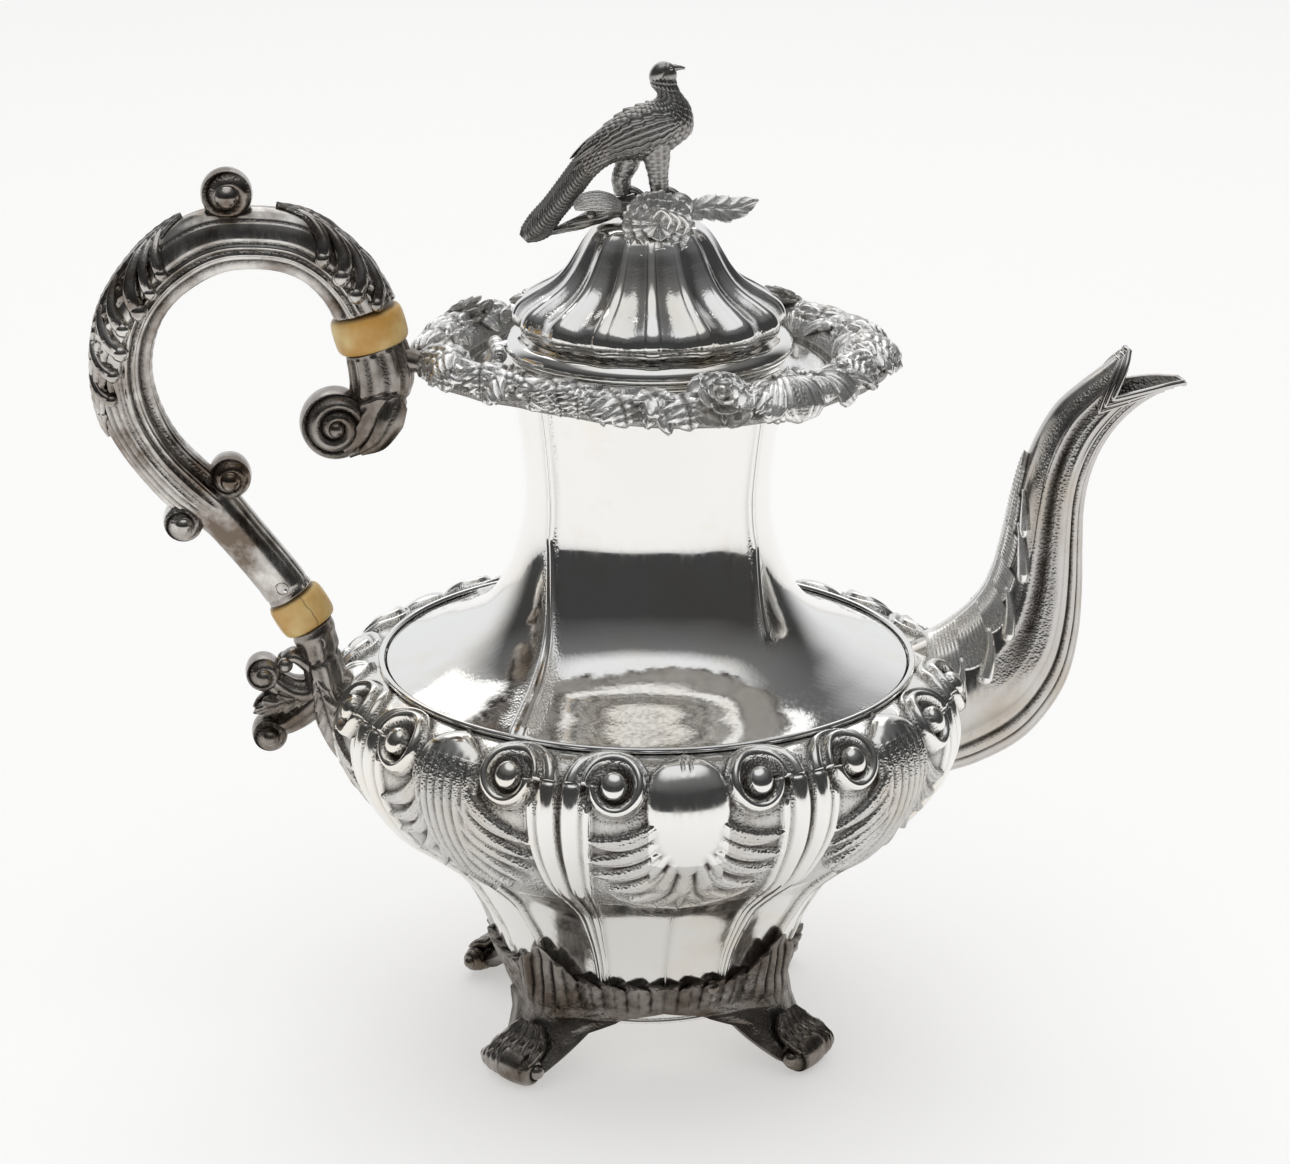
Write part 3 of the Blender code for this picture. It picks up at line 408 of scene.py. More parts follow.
def metal(name, bright, tarnish, warm, roughness, wear, aged=0.0, metallic=1.0):
    """Silver with tarnish in its hollows, warm stains, fine wiping marks and dents."""
    material, tree, shader = new_material(name)
    link = tree.links.new
    shader.inputs["Metallic"].default_value = metallic
    place = node(tree, "ShaderNodeTexCoord").outputs["Object"]
    hollow = node(tree, "ShaderNodeAttribute", attribute_name="recess").outputs["Fac"]

    stains = texture(tree, "ShaderNodeTexNoise", place, "Fac", Scale=26.0 + 36.0 * aged, Detail=5.0,
                     Roughness=0.62)
    stain_part = remap(tree, stains, (0.52 - 0.15 * aged, 0.0),
                        (0.72 - 0.10 * aged, 0.5 + 0.45 * aged))
    grime = texture(tree, "ShaderNodeTexNoise", place, "Fac", Scale=160.0, Detail=4.0)
    grime_part = node(tree, "ShaderNodeMath", operation="MULTIPLY_ADD")
    grime_part.inputs[1].default_value = 0.7
    grime_part.inputs[2].default_value = 0.62
    link(grime, grime_part.inputs[0])
    dirt = combined(tree, "MULTIPLY", hollow, grime_part.outputs["Value"], use_clamp=True)
    stained = blend(tree, stain_part, bright, warm)
    link(blend(tree, dirt, stained, tarnish), shader.inputs["Base Color"])

    # Wiping marks are long and thin, and dirt is rougher than bare metal.
    marks = node(tree, "ShaderNodeMapping")
    marks.inputs["Scale"].default_value = (900.0, 900.0, 60.0)
    marks.inputs["Rotation"].default_value = (0.5, 0.9, 0.3)
    link(place, marks.inputs["Vector"])
    scratches = texture(tree, "ShaderNodeTexNoise", marks.outputs["Vector"], "Fac", Scale=1.0,
                        Detail=3.0)
    rough = node(tree, "ShaderNodeMath", operation="MULTIPLY_ADD")
    rough.inputs[1].default_value = 0.3
    link(dirt, rough.inputs[0])
    link(remap(tree, scratches, (0.35, roughness), (0.75, roughness + wear)), rough.inputs[2])
    link(rough.outputs["Value"], shader.inputs["Roughness"])

    dents = texture(tree, "ShaderNodeTexNoise", place, "Fac", Scale=48.0, Detail=1.0)
    dented = raised(tree, dents, 0.09, 0.004)
    scratched = raised(tree, scratches, 0.035, 0.0004, dented)
    # Punched tool marks on the chased grounds.
    punches = texture(tree, "ShaderNodeTexVoronoi", place, "Distance", Scale=1500.0)
    punched = raised(tree, combined(tree, "MULTIPLY", punches, hollow), 0.9, 0.0005, scratched)
    link(punched, shader.inputs["Normal"])
    return material


def ivory_material(name):
    """Cream ivory with an amber cloud, and dark in its cracks."""
    material, tree, shader = new_material(name)
    shader.inputs["Subsurface Weight"].default_value = 0.12
    shader.inputs["Subsurface Radius"].default_value = (0.004, 0.002, 0.001)
    shader.inputs["Roughness"].default_value = 0.33
    place = node(tree, "ShaderNodeTexCoord").outputs["Object"]
    cloud = texture(tree, "ShaderNodeTexNoise", place, "Fac", Scale=90.0, Detail=3.0)
    ramp = node(tree, "ShaderNodeValToRGB")
    ramp.color_ramp.elements[0].position = 0.36
    ramp.color_ramp.elements[0].color = (0.66, 0.36, 0.09, 1.0)
    ramp.color_ramp.elements[1].position = 0.62
    ramp.color_ramp.elements[1].color = (0.86, 0.66, 0.30, 1.0)
    tree.links.new(cloud, ramp.inputs["Fac"])
    crack = node(tree, "ShaderNodeAttribute", attribute_name="recess").outputs["Fac"]
    colour = blend(tree, crack, ramp.outputs["Color"], (0.13, 0.075, 0.03))
    tree.links.new(colour, shader.inputs["Base Color"])
    return material


# Colours of clean metal, of dirt in the hollows and of the stains, then roughness and wear.
SILVER = metal("polished_silver", (0.93, 0.92, 0.90), (0.16, 0.13, 0.10), (0.86, 0.76, 0.60), 0.05, 0.08)
CHASED = metal("chased_silver", (0.91, 0.90, 0.87), (0.07, 0.055, 0.045), (0.84, 0.73, 0.57), 0.09, 0.12)
CAST = metal(
    "cast_silver", (0.97, 0.96, 0.94), (0.13, 0.11, 0.09), (0.90, 0.82, 0.68), 0.2, 0.12, metallic=0.88
)
DARK = metal(
    "oxidised_silver", (0.76, 0.735, 0.70), (0.03, 0.022, 0.017), (0.15, 0.11, 0.08), 0.13, 0.13, 1.0
)
FOOT_SILVER = metal(
    "foot_silver", (0.46, 0.43, 0.40), (0.025, 0.02, 0.016), (0.14, 0.11, 0.085), 0.22, 0.14, 1.0
)
SPOUT_SILVER = metal(
    "spout_silver", (0.64, 0.62, 0.60), (0.06, 0.05, 0.04), (0.50, 0.43, 0.34), 0.12, 0.14, 0.4
)
BIRD_SILVER = metal(
    "bird_silver", (0.42, 0.41, 0.395), (0.03, 0.028, 0.026), (0.30, 0.27, 0.24), 0.24, 0.12, 0.5
)
IVORY = ivory_material("old_ivory")


# ---------------------------------------------------------------- lower body
LOWER_PROFILE = [
    (70.6, 103.2), (75.6, 101.8), (79.6, 97.4), (81.4, 90.6), (80.2, 83.0), (76.6, 75.6),
    (70.4, 67.0), (61.4, 59.4), (53.4, 52.0), (47.6, 43.6), (43.2, 35.6), (40.2, 27.4),
    (37.2, 20.0), (36.6, 16.2),
]
PAIR_OFFSET = 9.6  # degrees from the middle of a pair of volutes to one volute's ball
VOLUTE_DEPTH = 10.2  # along the profile, from the shoulder down to the ball
VOLUTE_SIZE = 8.4
BALL_SIZE = 3.1
BODY_ROWS = 300
BODY_COLUMNS = 1440  # a whole number for each degree, so the relief can be mirrored


def volute(distance, turn, size):
    """Height of a scroll end over a flat ground; turn is in degrees from where it starts."""
    scale = size / VOLUTE_SIZE
    rho = distance / scale
    first = table(turn, (0, 8.4), (90, 8.3), (180, 8.0), (270, 7.3), (360, 6.3))
    second = table(turn, (0, 6.3), (90, 5.3), (180, 4.6), (270, 4.1), (360, 3.7))
    channel = (rho - second) / (first - second)
    height = table(
        channel, (0, 0.7), (0.1, 1.7), (0.25, 2.5), (0.45, 2.9), (0.65, 2.75), (0.85, 2.0),
        (1.0, 0.9),
    )
    inner = table((rho - BALL_SIZE) / (second - BALL_SIZE), (0, 0.5), (0.5, 0.4), (1, 0.7))
    dome = 1.9 + 2.0 * np.sqrt(np.clip(1.0 - (rho / BALL_SIZE) ** 2, 0.0, 1.0))
    height = np.where(rho < second, inner, height)
    height = np.where(rho < BALL_SIZE, dome, height)
    return scale * height * smooth(first + 0.9 - rho, 0.0, 0.9)


def lobe(x, s, root, bend, tip, width, height, ribs):
    """Height of one ribbed leaf lobe drawn from root to tip on the unrolled body."""
    t = np.linspace(0.0, 1.0, 40)[:, None]
    root, bend, tip = (np.array(point, float) for point in (root, bend, tip))
    run = (1 - t) ** 2 * root + 2 * t * (1 - t) * bend + t ** 2 * tip
    along = unit(np.gradient(run, axis=0))
    offset_x = x[..., None] - run[:, 0]
    offset_s = s[..., None] - run[:, 1]
    nearest = np.argmin(offset_x ** 2 + offset_s ** 2, axis=-1)
    dx = np.take_along_axis(offset_x, nearest[..., None], -1)[..., 0]
    ds = np.take_along_axis(offset_s, nearest[..., None], -1)[..., 0]
    across = dx * along[nearest, 1] - ds * along[nearest, 0]
    distance = np.hypot(dx, ds)
    part = nearest / (len(t) - 1)
    half = width * np.sqrt(np.clip(1.0 - part ** 3, 0.0, 1.0)) * (0.72 + 0.28 * np.sin(math.pi * part))
    half = np.maximum(half, 0.05)
    inside = np.clip(1.0 - (distance / half) ** 2, 0.0, 1.0)
    body = height * (1.0 - 0.25 * part) * inside ** 0.42
    return body - ribs * bump(((across / half * 1.6) % 1.0) - 0.5, 0.16) * (inside > 0.05)


# Lobes of a leaf over a flat side and over a corner: root, bend, tip (X, distance down) and width.
SIDE_LOBES = [
    ((8.0, 20.0), (16.0, 27.0), (24.6, 23.6), 2.5),
    ((8.0, 24.5), (15.0, 32.0), (24.6, 30.0), 2.5),
    ((7.4, 29.0), (13.0, 38.4), (22.8, 35.4), 2.4),
    ((6.0, 34.0), (9.6, 44.0), (18.4, 41.6), 2.3),
    ((4.4, 38.0), (6.0, 48.4), (12.8, 48.0), 2.2),
    ((1.6, 43.0), (3.0, 49.0), (5.6, 53.2), 1.7),
    ((0.0, 42.0), (0.0, 49.0), (0.0, 55.4), 1.6),
]
CORNER_LOBES = [
    ((5.4, 12.0), (10.0, 25.0), (25.4, 26.4), 2.4),
    ((4.2, 14.0), (7.6, 30.0), (24.0, 31.6), 2.2),
    ((3.0, 16.0), (5.8, 33.0), (22.6, 37.0), 2.1),
    ((2.0, 18.0), (4.2, 36.0), (17.8, 43.0), 2.0),
    ((1.2, 20.0), (2.6, 38.0), (11.4, 48.0), 1.8),
    ((0.5, 22.0), (1.2, 40.0), (5.6, 51.4), 1.6),
    ((0.0, 22.0), (0.0, 40.0), (0.0, 53.4), 1.5),
]


def panel_leaf(x, s, corner):
    """Chased leaf of one panel: a head, side lobes, and pleats on a corner or rays on a side."""
    width = table(s, (1.6, 0), (2.4, 3.2), (4, 5.6), (7, 8.4), (11, 10.2), (16, 10.2), (22, 9.6),
                  (29, 8.2), (36, 6.6), (43, 4.4), (50, 2.0), (55, 0.3))
    if not corner:
        width = np.minimum(width, table(s, (20, 12.0), (26, 8.4), (31, 5.2), (34, 2.4), (36, 0.1)))
    width = np.maximum(width, 0.02)
    head = table(s, (1.5, 1.6), (6, 2.7), (14, 2.9), (30, 2.4), (44, 1.8), (55, 1.2))
    height = head * np.clip(1.0 - (x / width) ** 2, 0.0, 1.0) ** 0.45
    if corner:
        pleats = 0.42 * np.cos(x * 2 * math.pi / 2.5) * smooth(s, 7.0, 15.0)
        height = height + pleats * (height > 0.6)
    else:
        nick = bump(x - 1.0, 0.32) * smooth(s, 2.0, 3.4) * (1.0 - smooth(s, 6.0, 8.4))
        height = height - 0.6 * nick * (height > 0.5)
        # Pointed rays spread below the dome.
        ray = np.abs(np.cos(np.arctan2(x, np.maximum(s - 18.0, 0.1)) * 13.0)) ** 0.7
        spread = smooth(s, 24.0, 27.0) * (1.0 - smooth(np.hypot(x * 1.9, s - 18.0), 22.0, 35.0))
        height = np.maximum(height, (0.7 + 1.7 * ray) * spread * (x < 9.0))
    for root, bend, tip, size in CORNER_LOBES if corner else SIDE_LOBES:
        blade = lobe(x, s, root, bend, tip, size, 2.25 if corner else 2.0, 0.26)
        height = np.maximum(height, blade)
    if not corner:
        # A narrow swag hangs under the rays.
        swag = 65.0 - 0.062 * x ** 2
        hem = 56.6 - 0.036 * x ** 2
        inside = x < 17.5
        band = smooth(s, hem - 0.4, hem + 0.4) * (1.0 - smooth(s, swag - 0.4, swag + 0.4)) * inside
        height = np.maximum(height, 0.55 * band)
        height = height - 0.5 * bump(s - swag - 0.5, 0.45) * inside
        height = height - 0.4 * bump(s - hem + 0.3, 0.4) * inside * (height < 1.2)
    return height


def stems(a, s):
    """Height of the moulded stems below a pair of volutes, at a distance from the pair's middle."""
    width = table(s, (0, 8.2), (18, 8.2), (25, 8.0), (34, 7.2), (45, 5.8), (56, 4.3), (67, 3.0),
                  (80, 2.1), (95, 1.5), (107, 1.1))
    tall = table(s, (9, 0), (11, 2.2), (30, 2.2), (45, 1.8), (56, 1.4), (67, 1.0), (80, 0.75),
                 (98, 0.5), (104, 0.0))
    section = table(
        a / width, (0, 0.02), (0.05, 0.05), (0.1, 0.5), (0.18, 0.84), (0.32, 1.0), (0.48, 0.9),
        (0.6, 0.62), (0.68, 0.32), (0.74, 0.34), (0.82, 0.62), (0.89, 0.66), (0.95, 0.45),
        (1.0, 0.0),
    )
    return tall * section


def crowning(e, v):
    """The stem's round band where it goes over the top of its volute."""
    rho = np.hypot(e, v)
    turn = np.degrees(np.arctan2(v, e)) % 360.0
    outer = table(turn, (0, 12.8), (50, 11.6), (90, 10.0), (140, 9.0), (190, 8.5), (360, 8.4))
    inner = table(turn, (0, 8.4), (90, 8.3), (180, 8.0), (270, 7.3), (360, 7.3))
    part = (rho - inner) / np.maximum(outer - inner, 0.05)
    section = table(part, (0, 0.8), (0.08, 0.45), (0.3, 0.85), (0.6, 1.0), (0.85, 0.72), (1, 0.0))
    tall = table(turn, (0, 2.2), (90, 1.9), (180, 1.4), (200, 0.0), (360, 0.0))
    return tall * section * (part >= 0) * (part <= 1)


def body_height(rows_r, rows_s):
    """Height and tooled ground of one eighth of the lower body, mirrored to the whole turn."""
    step = 360.0 / BODY_COLUMNS
    eighth = np.arange(BODY_COLUMNS // 8 + 1) * step
    radius = rows_r[:, None]
    s = np.broadcast_to(rows_s[:, None], (len(rows_s), len(eighth)))
    wedge = np.zeros(s.shape)
    pair = np.abs(eighth - 22.5)[None, :]
    a = np.radians(pair) * radius
    # Near the shoulder arcs are measured on one radius, so the volutes stay round.
    round_radius = table(rows_s, (0, 79.5), (14, 80.0), (20, 81.0))[:, None]
    e = np.radians(PAIR_OFFSET - pair) * np.maximum(radius, round_radius)
    v = VOLUTE_DEPTH - s
    rho = np.hypot(e, v)
    turn = np.degrees(np.arctan2(v, e)) % 360.0
    for corner in (False, True):
        cut = eighth > 22.5 if corner else eighth <= 22.5
        x = np.radians(45.0 - eighth if corner else eighth)[None, :] * radius
        leaf = panel_leaf(x, s, corner)
        wedge[:, cut] = leaf[:, cut]
    wedge = np.where(rho < VOLUTE_SIZE + 1.4, np.minimum(wedge, 1.6), wedge)
    wedge = np.maximum(wedge, stems(a, s) * (s > 9.5))
    wedge = np.maximum(wedge, np.where(s < 12.0, crowning(e, v), 0.0))
    scroll = volute(rho, turn, VOLUTE_SIZE)
    corner_side = (eighth > 22.5)[None, :]
    x = np.radians(np.where(corner_side, 45.0 - eighth, eighth)) * radius
    stem_edge = table(s, (0, 9.4), (25, 8.4), (34, 7.4), (45, 6.0), (57, 4.6))
    tooled = (a > stem_edge) & (rho > VOLUTE_SIZE) & (s > 9.0) & (s < 57.0)
    tooled = tooled & (corner_side | (x > 9.6) | (s > 30.0))
    wedge = np.where(rho < VOLUTE_SIZE * 0.995, scroll, np.maximum(wedge, scroll))
    angle = np.arange(BODY_COLUMNS) * step
    mirrored = np.round(np.abs((angle + 45.0) % 90.0 - 45.0) / step).astype(int)
    return wedge[:, mirrored], tooled[:, mirrored]


def build_lower_body():
    """The chased shell, open at the shoulder and at the base."""
    outer = spline(LOWER_PROFILE, BODY_ROWS)
    height, tooled = body_height(outer[:, 0], lengths(outer))
    height[[0, -1]] = 0.0
    inner = spline([
        (35.2, 16.2), (38.6, 28.0), (46.0, 44.0), (60.0, 60.6), (75.0, 76.4), (79.4, 90.6),
        (77.6, 96.6), (74.6, 100.2), (69.4, 101.9), (66.6, 102.0), (66.6, 103.2),
    ], 24)
    loop = np.vstack([outer, inner])
    full = np.vstack([height, np.zeros((len(inner), BODY_COLUMNS))])
    recess = hollows(full, 0.9)
    recess[:BODY_ROWS] = np.clip(recess[:BODY_ROWS] + 0.30 * tooled, 0.0, 1.0)
    recess[BODY_ROWS:] = 0.6
    form = Form()
    form.revolved(loop, BODY_COLUMNS, full, recess)
    form.make("chased_body", CHASED, "pot", "body_lower")


# ---------------------------------------------------------------- upper body
UPPER_PROFILE = [
    (35.4, 180.2), (33.9, 171.0), (32.4, 160.5), (31.7, 151.0), (32.2, 142.0), (34.7, 132.4),
    (38.0, 124.4), (43.2, 117.4), (50.6, 112.0), (59.6, 107.6), (68.2, 104.0),
]


def build_upper_body():
    """The plain cone with its four pleats, and the wire over its seam."""
    rows, columns = 220, 1080
    outer = spline(UPPER_PROFILE, rows)
    z = outer[:, 1:]
    angle = full_turn(columns)
    radius = outer[:, :1]
    height = np.zeros((rows, columns))
    # A raised pleat with a double edge runs down the cone at each corner.
    wander_left = table(z, (104, 35), (110, 38), (121, 45), (129, 50), (142, 57), (182, 56))
    wander_right = table(z, (104, 35), (118.6, 39), (128.5, 44), (139, 49), (152, 47.5), (182, 47.5))
    for side, wander, end in ((-1, wander_left, 103.0), (1, wander_right, 117.6)):
        for place in (side * wander, 180.0 - side * wander):
            away = (angle - place + 180.0) % 360.0 - 180.0
            d = np.radians(away) * radius
            fade = smooth(z, end, end + 2.5) * (1.0 - 0.55 * smooth(z, 158.0, 176.0))
            wide = table(z, (104, 2.6), (116, 1.5), (126, 1.0), (182, 1.0))
            pleat = 0.62 * bump(d, 1.25 * wide)
            pleat = pleat + 0.42 * (bump(d - 0.8 * wide, 0.34) + bump(d + 0.8 * wide, 0.34))
            height = height + pleat * fade
    recess = hollows(height, 1.6)
    inner = spline([(66.4, 103.4), (56.0, 106.6), (44.0, 113.6), (36.0, 124.4), (31.0, 141.0),
                    (30.5, 151.0), (32.6, 171.0), (34.0, 180.2)], 14)
    loop = np.vstack([outer, inner])
    blank = np.zeros((len(inner), columns))
    form = Form()
    form.revolved(loop, columns, np.vstack([height, blank]), np.vstack([recess, blank]))
    form.make("neck_cone", SILVER, "pot", "body_upper")

    ring = np.radians(full_turn(14)[0])
    form = Form()
    form.revolved(
        np.stack([69.4 + 0.8 * np.cos(ring), 104.2 + 0.8 * np.sin(ring)], axis=1), 360
    )
    form.make("seam_wire", SILVER, "pot", "shoulder_wire")


# ---------------------------------------------------------------- collar
# Radius of the collar's wavy edge every 15 degrees.
COLLAR_EDGE = [
    59.0, 60.4, 59.6, 58.0, 60.0, 62.0, 65.6, 65.0, 62.0, 62.0, 61.0, 60.4,
    61.0, 62.0, 61.0, 60.6, 62.0, 60.8, 59.4, 57.6, 54.6, 51.4, 52.2, 55.8,
]
COLLAR_INNER = 47.4


def collar_edge(angle):
    """Radius of the collar's edge at an angle."""
    place = (np.asarray(angle, float) % 360.0) / 15.0
    low = np.floor(place).astype(int) % 24
    part = smooth(place - np.floor(place), 0.0, 1.0)
    edge = np.array(COLLAR_EDGE)
    return edge[low] * (1.0 - part) + edge[(low + 1) % 24] * part


def on_collar(angle, part, lift=0.0):
    """A point on the border's rounded top, part of the way from its inner to its outer edge."""
    radius = COLLAR_INNER + (collar_edge(angle) - COLLAR_INNER) * part
    z = table(part, (-0.2, 182.4), (0, 183.6), (0.18, 185.8), (0.42, 187.0), (0.66, 186.4),
              (0.88, 184.2), (1.0, 182.6), (1.1, 181.8))
    return polar(radius, angle, z + lift)


def collar_normal(angle, part):
    """Which way the border's rounded top faces."""
    tilt = table(part, (0, -0.7), (0.3, -0.15), (0.6, 0.35), (1, 1.1))
    return unit(polar(tilt, angle, 1.0))


def collar_leaf(form, angle, swing, width, inner, outer, lift, teeth, drop, veins, ribs=0.0,
                cut=0.3, twist=0.0, shape=None, midrib=0.4):
    """A leaf across the border; swing is how far it turns round the pot on its way out."""
    spine = [
        on_collar(angle + swing * part, inner + (outer - inner) * part, rise)
        for part, rise in ((0.0, 0.2), (0.33, lift), (0.7, lift * 0.9), (1.0, -drop))
    ]
    form.leaf(
        spine, collar_normal(angle + swing / 2.0, (inner + outer) / 2.0), width, shape=shape,
        teeth=teeth, cut=cut, veins=veins, ribs=ribs, midrib=midrib, arch=0.32, thick=1.1,
        rows=44, columns=21, twist=twist,
    )


def rose(form, angle, part, radius, tilt):
    """Three rings of cupped petals round a bud, tilted outwards."""
    centre = on_collar(angle, part, 0.7)
    axis = unit(collar_normal(angle, part) + tilt * polar(1.0, angle, 0.0))
    form.flower(centre, axis, radius, 5, 0.22, 0.62, 0.15, 0.0, 0.1, 0.0)
    form.flower(centre + axis * radius * 0.16, axis, radius * 0.72, 5, 0.42, 0.62, 0.1, 0.5, 0, 0)
    form.flower(centre + axis * radius * 0.26, axis, radius * 0.46, 4, 0.62, 0.66, 0.0, 0.2, 0, 0)
    form.ball(centre + axis * radius * 0.42, radius * 0.22, 10, 24, 0.12, 3, axis)


def lily(form, angle, swing, width, inner, outer, lift):
    """A pleated shell flower with a curled, pointed lip."""
    shape = ((0, 0.16), (0.3, 0.42), (0.6, 0.85), (0.8, 1.0), (0.93, 0.7), (1, 0.06))
    for side in (-1.0, 1.0):
        collar_leaf(form, angle + side * 2.2, swing + side * 7.0, width * 0.62, inner,
                    outer - 0.08, lift * 0.8, 0, 0.2, 0.0, 1.2, 0.0, side * 25.0, shape, 0.0)
    collar_leaf(form, angle, swing, width, inner, outer, lift, 0, 1.0, 0.0, 1.4, 0.0, 0.0, shape, 0.3)


def berries(form, angle, part, spread, radius):
    """A heap of round berries."""
    for ring, count in ((0.0, 1), (0.5, 5), (1.0, 9)):
        for index in range(count):
            turn = 2 * math.pi * (index + 0.3 * ring) / count
            centre = on_collar(
                angle + spread * ring * math.cos(turn),
                np.clip(part + 0.34 * ring * math.sin(turn), 0.05, 1.02),
                1.9 - 1.0 * ring,
            )
            form.ball(centre, radius * (1.0 - 0.12 * ring), 9, 14)


def build_border():
    """The cast border of flowers, berries and leaves round the collar."""
    # The bed that carries the flowers.
    angle = full_turn(480)[0]
    parts = [(0.0, -1.0), (0.0, 0.2), (0.2, 0.2), (0.4, 0.2), (0.6, 0.2), (0.8, 0.1), (0.9, -0.2),
             (0.92, -1.4), (0.7, -2.6), (0.35, -3.0), (0.1, -2.2)]
    ripple = 0.35 * np.sin(np.radians(angle * 31.0))
    rows = [on_collar(angle, part, lift + ripple * (lift > 0)) for part, lift in parts]
    form = Form()
    form.grid(np.array(rows), 0.6, loop=True)
    # Broad leaves under everything else, all the way round.
    for index in range(20):
        turn = index * 18.0 + 4.0 * math.sin(index * 2.3)
        swing = 7.0 * math.sin(index * 1.7 + 0.4)
        collar_leaf(form, turn, swing, 7.6, 0.16, 1.0, 0.7, 5, 0.4, 0.9)
    for index in range(24):
        turn = index * 15.0 + 5.0
        collar_leaf(form, turn, 6.0 * math.sin(index * 2.9), 4.2, 0.5, 0.0, 1.0, 0, 0.0, 0.0, 0.8)
    # Front, from the handle side to the spout side.
    for turn, swing, width, outer in (
        (-98, -5, 7.5, 1.06), (-86, 6, 7.2, 1.0), (-74, -4, 7.0, 1.04), (-64, 7, 5.6, 0.96),
    ):
        collar_leaf(form, turn, swing, width, 0.1, outer, 2.0, 8, 0.3, 1.3)
    berries(form, -50.0, 0.52, 8.0, 1.75)
    for turn, swing, width in ((-38, 7, 5.6), (-29, 3, 5.4), (-20, 5, 4.6), (-34, 16, 3.4)):
        collar_leaf(form, turn, swing, width, 0.0, 1.0, 1.8, 10, 0.3, 1.5, 0.0, 0.36)
    collar_leaf(form, -11.0, 9.0, 5.0, 0.05, 1.06, 2.4, 4, 0.6, 0.9, 0.6, 0.4, 20.0)
    collar_leaf(form, -2.0, -6.0, 4.4, 0.1, 1.0, 2.2, 4, 0.4, 0.9, 0.6, 0.4, -20.0)
    form.ball(on_collar(-4.0, 0.12, 1.4), (1.9, 1.9, 4.2), 14, 32, 0.10, 7, (0.95, 0.25, 0.1))
    rose(form, 11.0, 0.56, 8.6, 0.5)
    collar_leaf(form, 16.0, 9.0, 4.2, 0.3, 1.02, 1.5, 6, 0.4, 1.0)
    form.ball(on_collar(24.5, 0.3, 1.5), (2.4, 2.4, 4.4), 14, 40, 0.10, 9, (0.6, 0.75, 0.15))
    lily(form, 33.5, -3.0, 7.6, 0.1, 1.06, 2.6)
    lily(form, 46.0, 6.0, 6.8, 0.3, 1.02, 1.8)
    form.flower(on_collar(43.0, 0.16, 2.2), collar_normal(43.0, 0.3) + (0.2, -0.3, 0.1), 5.4, 5,
                0.2, 0.3, 0.8, 0.1, 0.25, 0.2)
    for turn, swing, width, outer in (
        (58, 5, 5.4, 1.0), (67, -4, 6.0, 1.02), (76, 5, 6.2, 1.03), (86, -3, 6.6, 1.04),
        (98, 4, 6.6, 1.02),
    ):
        collar_leaf(form, turn, swing, width, 0.12, outer, 1.9, 9, 0.3, 1.3, 0.5)
    # Rear half.
    for turn, swing, width, outer in (
        (112, 5, 6.0, 1.0), (124, -5, 5.0, 1.0), (152, 5, 5.6, 1.0), (172, -4, 6.2, 1.02),
        (196, 4, 6.2, 1.0), (210, -5, 5.6, 1.0), (222, 4, 5.0, 1.0), (246, -5, 6.6, 1.0),
        (254, 5, 6.0, 1.0),
    ):
        collar_leaf(form, turn, swing, width, 0.1, outer, 1.9, 8, 0.3, 1.3)
    rose(form, 134.0, 0.55, 7.4, 0.35)
    rose(form, 232.0, 0.55, 7.8, 0.35)
    lily(form, 162.0, 4.0, 7.0, 0.1, 1.04, 2.2)
    lily(form, 118.0, -4.0, 6.4, 0.1, 1.04, 2.2)
    berries(form, 183.0, 0.5, 7.0, 1.7)
    for turn in (146.0, 206.0):
        form.flower(on_collar(turn, 0.35, 2.0), collar_normal(turn, 0.3), 5.6, 6, 0.2, 0.34, 0.7)
    form.make("flower_border", CAST, "pot", "collar_border")


def build_mouth():
    """The dish inside the border and the ring the lid closes on."""
    form = Form()
    form.revolved([(32.4, 180.5), (40.0, 180.5), (47.2, 181.7), (47.2, 182.9), (44.0, 182.2),
                   (40.0, 181.5), (32.4, 181.5)], 240)
    form.make("collar_dish", SILVER, "pot", "collar_plate")
    form = Form()
    ring = spline([(32.4, 181.8), (35.4, 181.8), (35.0, 183.2), (34.9, 185.0), (35.6, 186.2),
                   (35.0, 186.7), (32.4, 186.7)], 30)
    form.revolved(ring, 240)
    form.make("mouth_rim", SILVER, "pot", "mouth_ring")


# ---------------------------------------------------------------- lid
FLUTE_PERIOD = 22.5
ROLL_HALF = 3.4  # half the width of the narrow roll between two flutes, in degrees


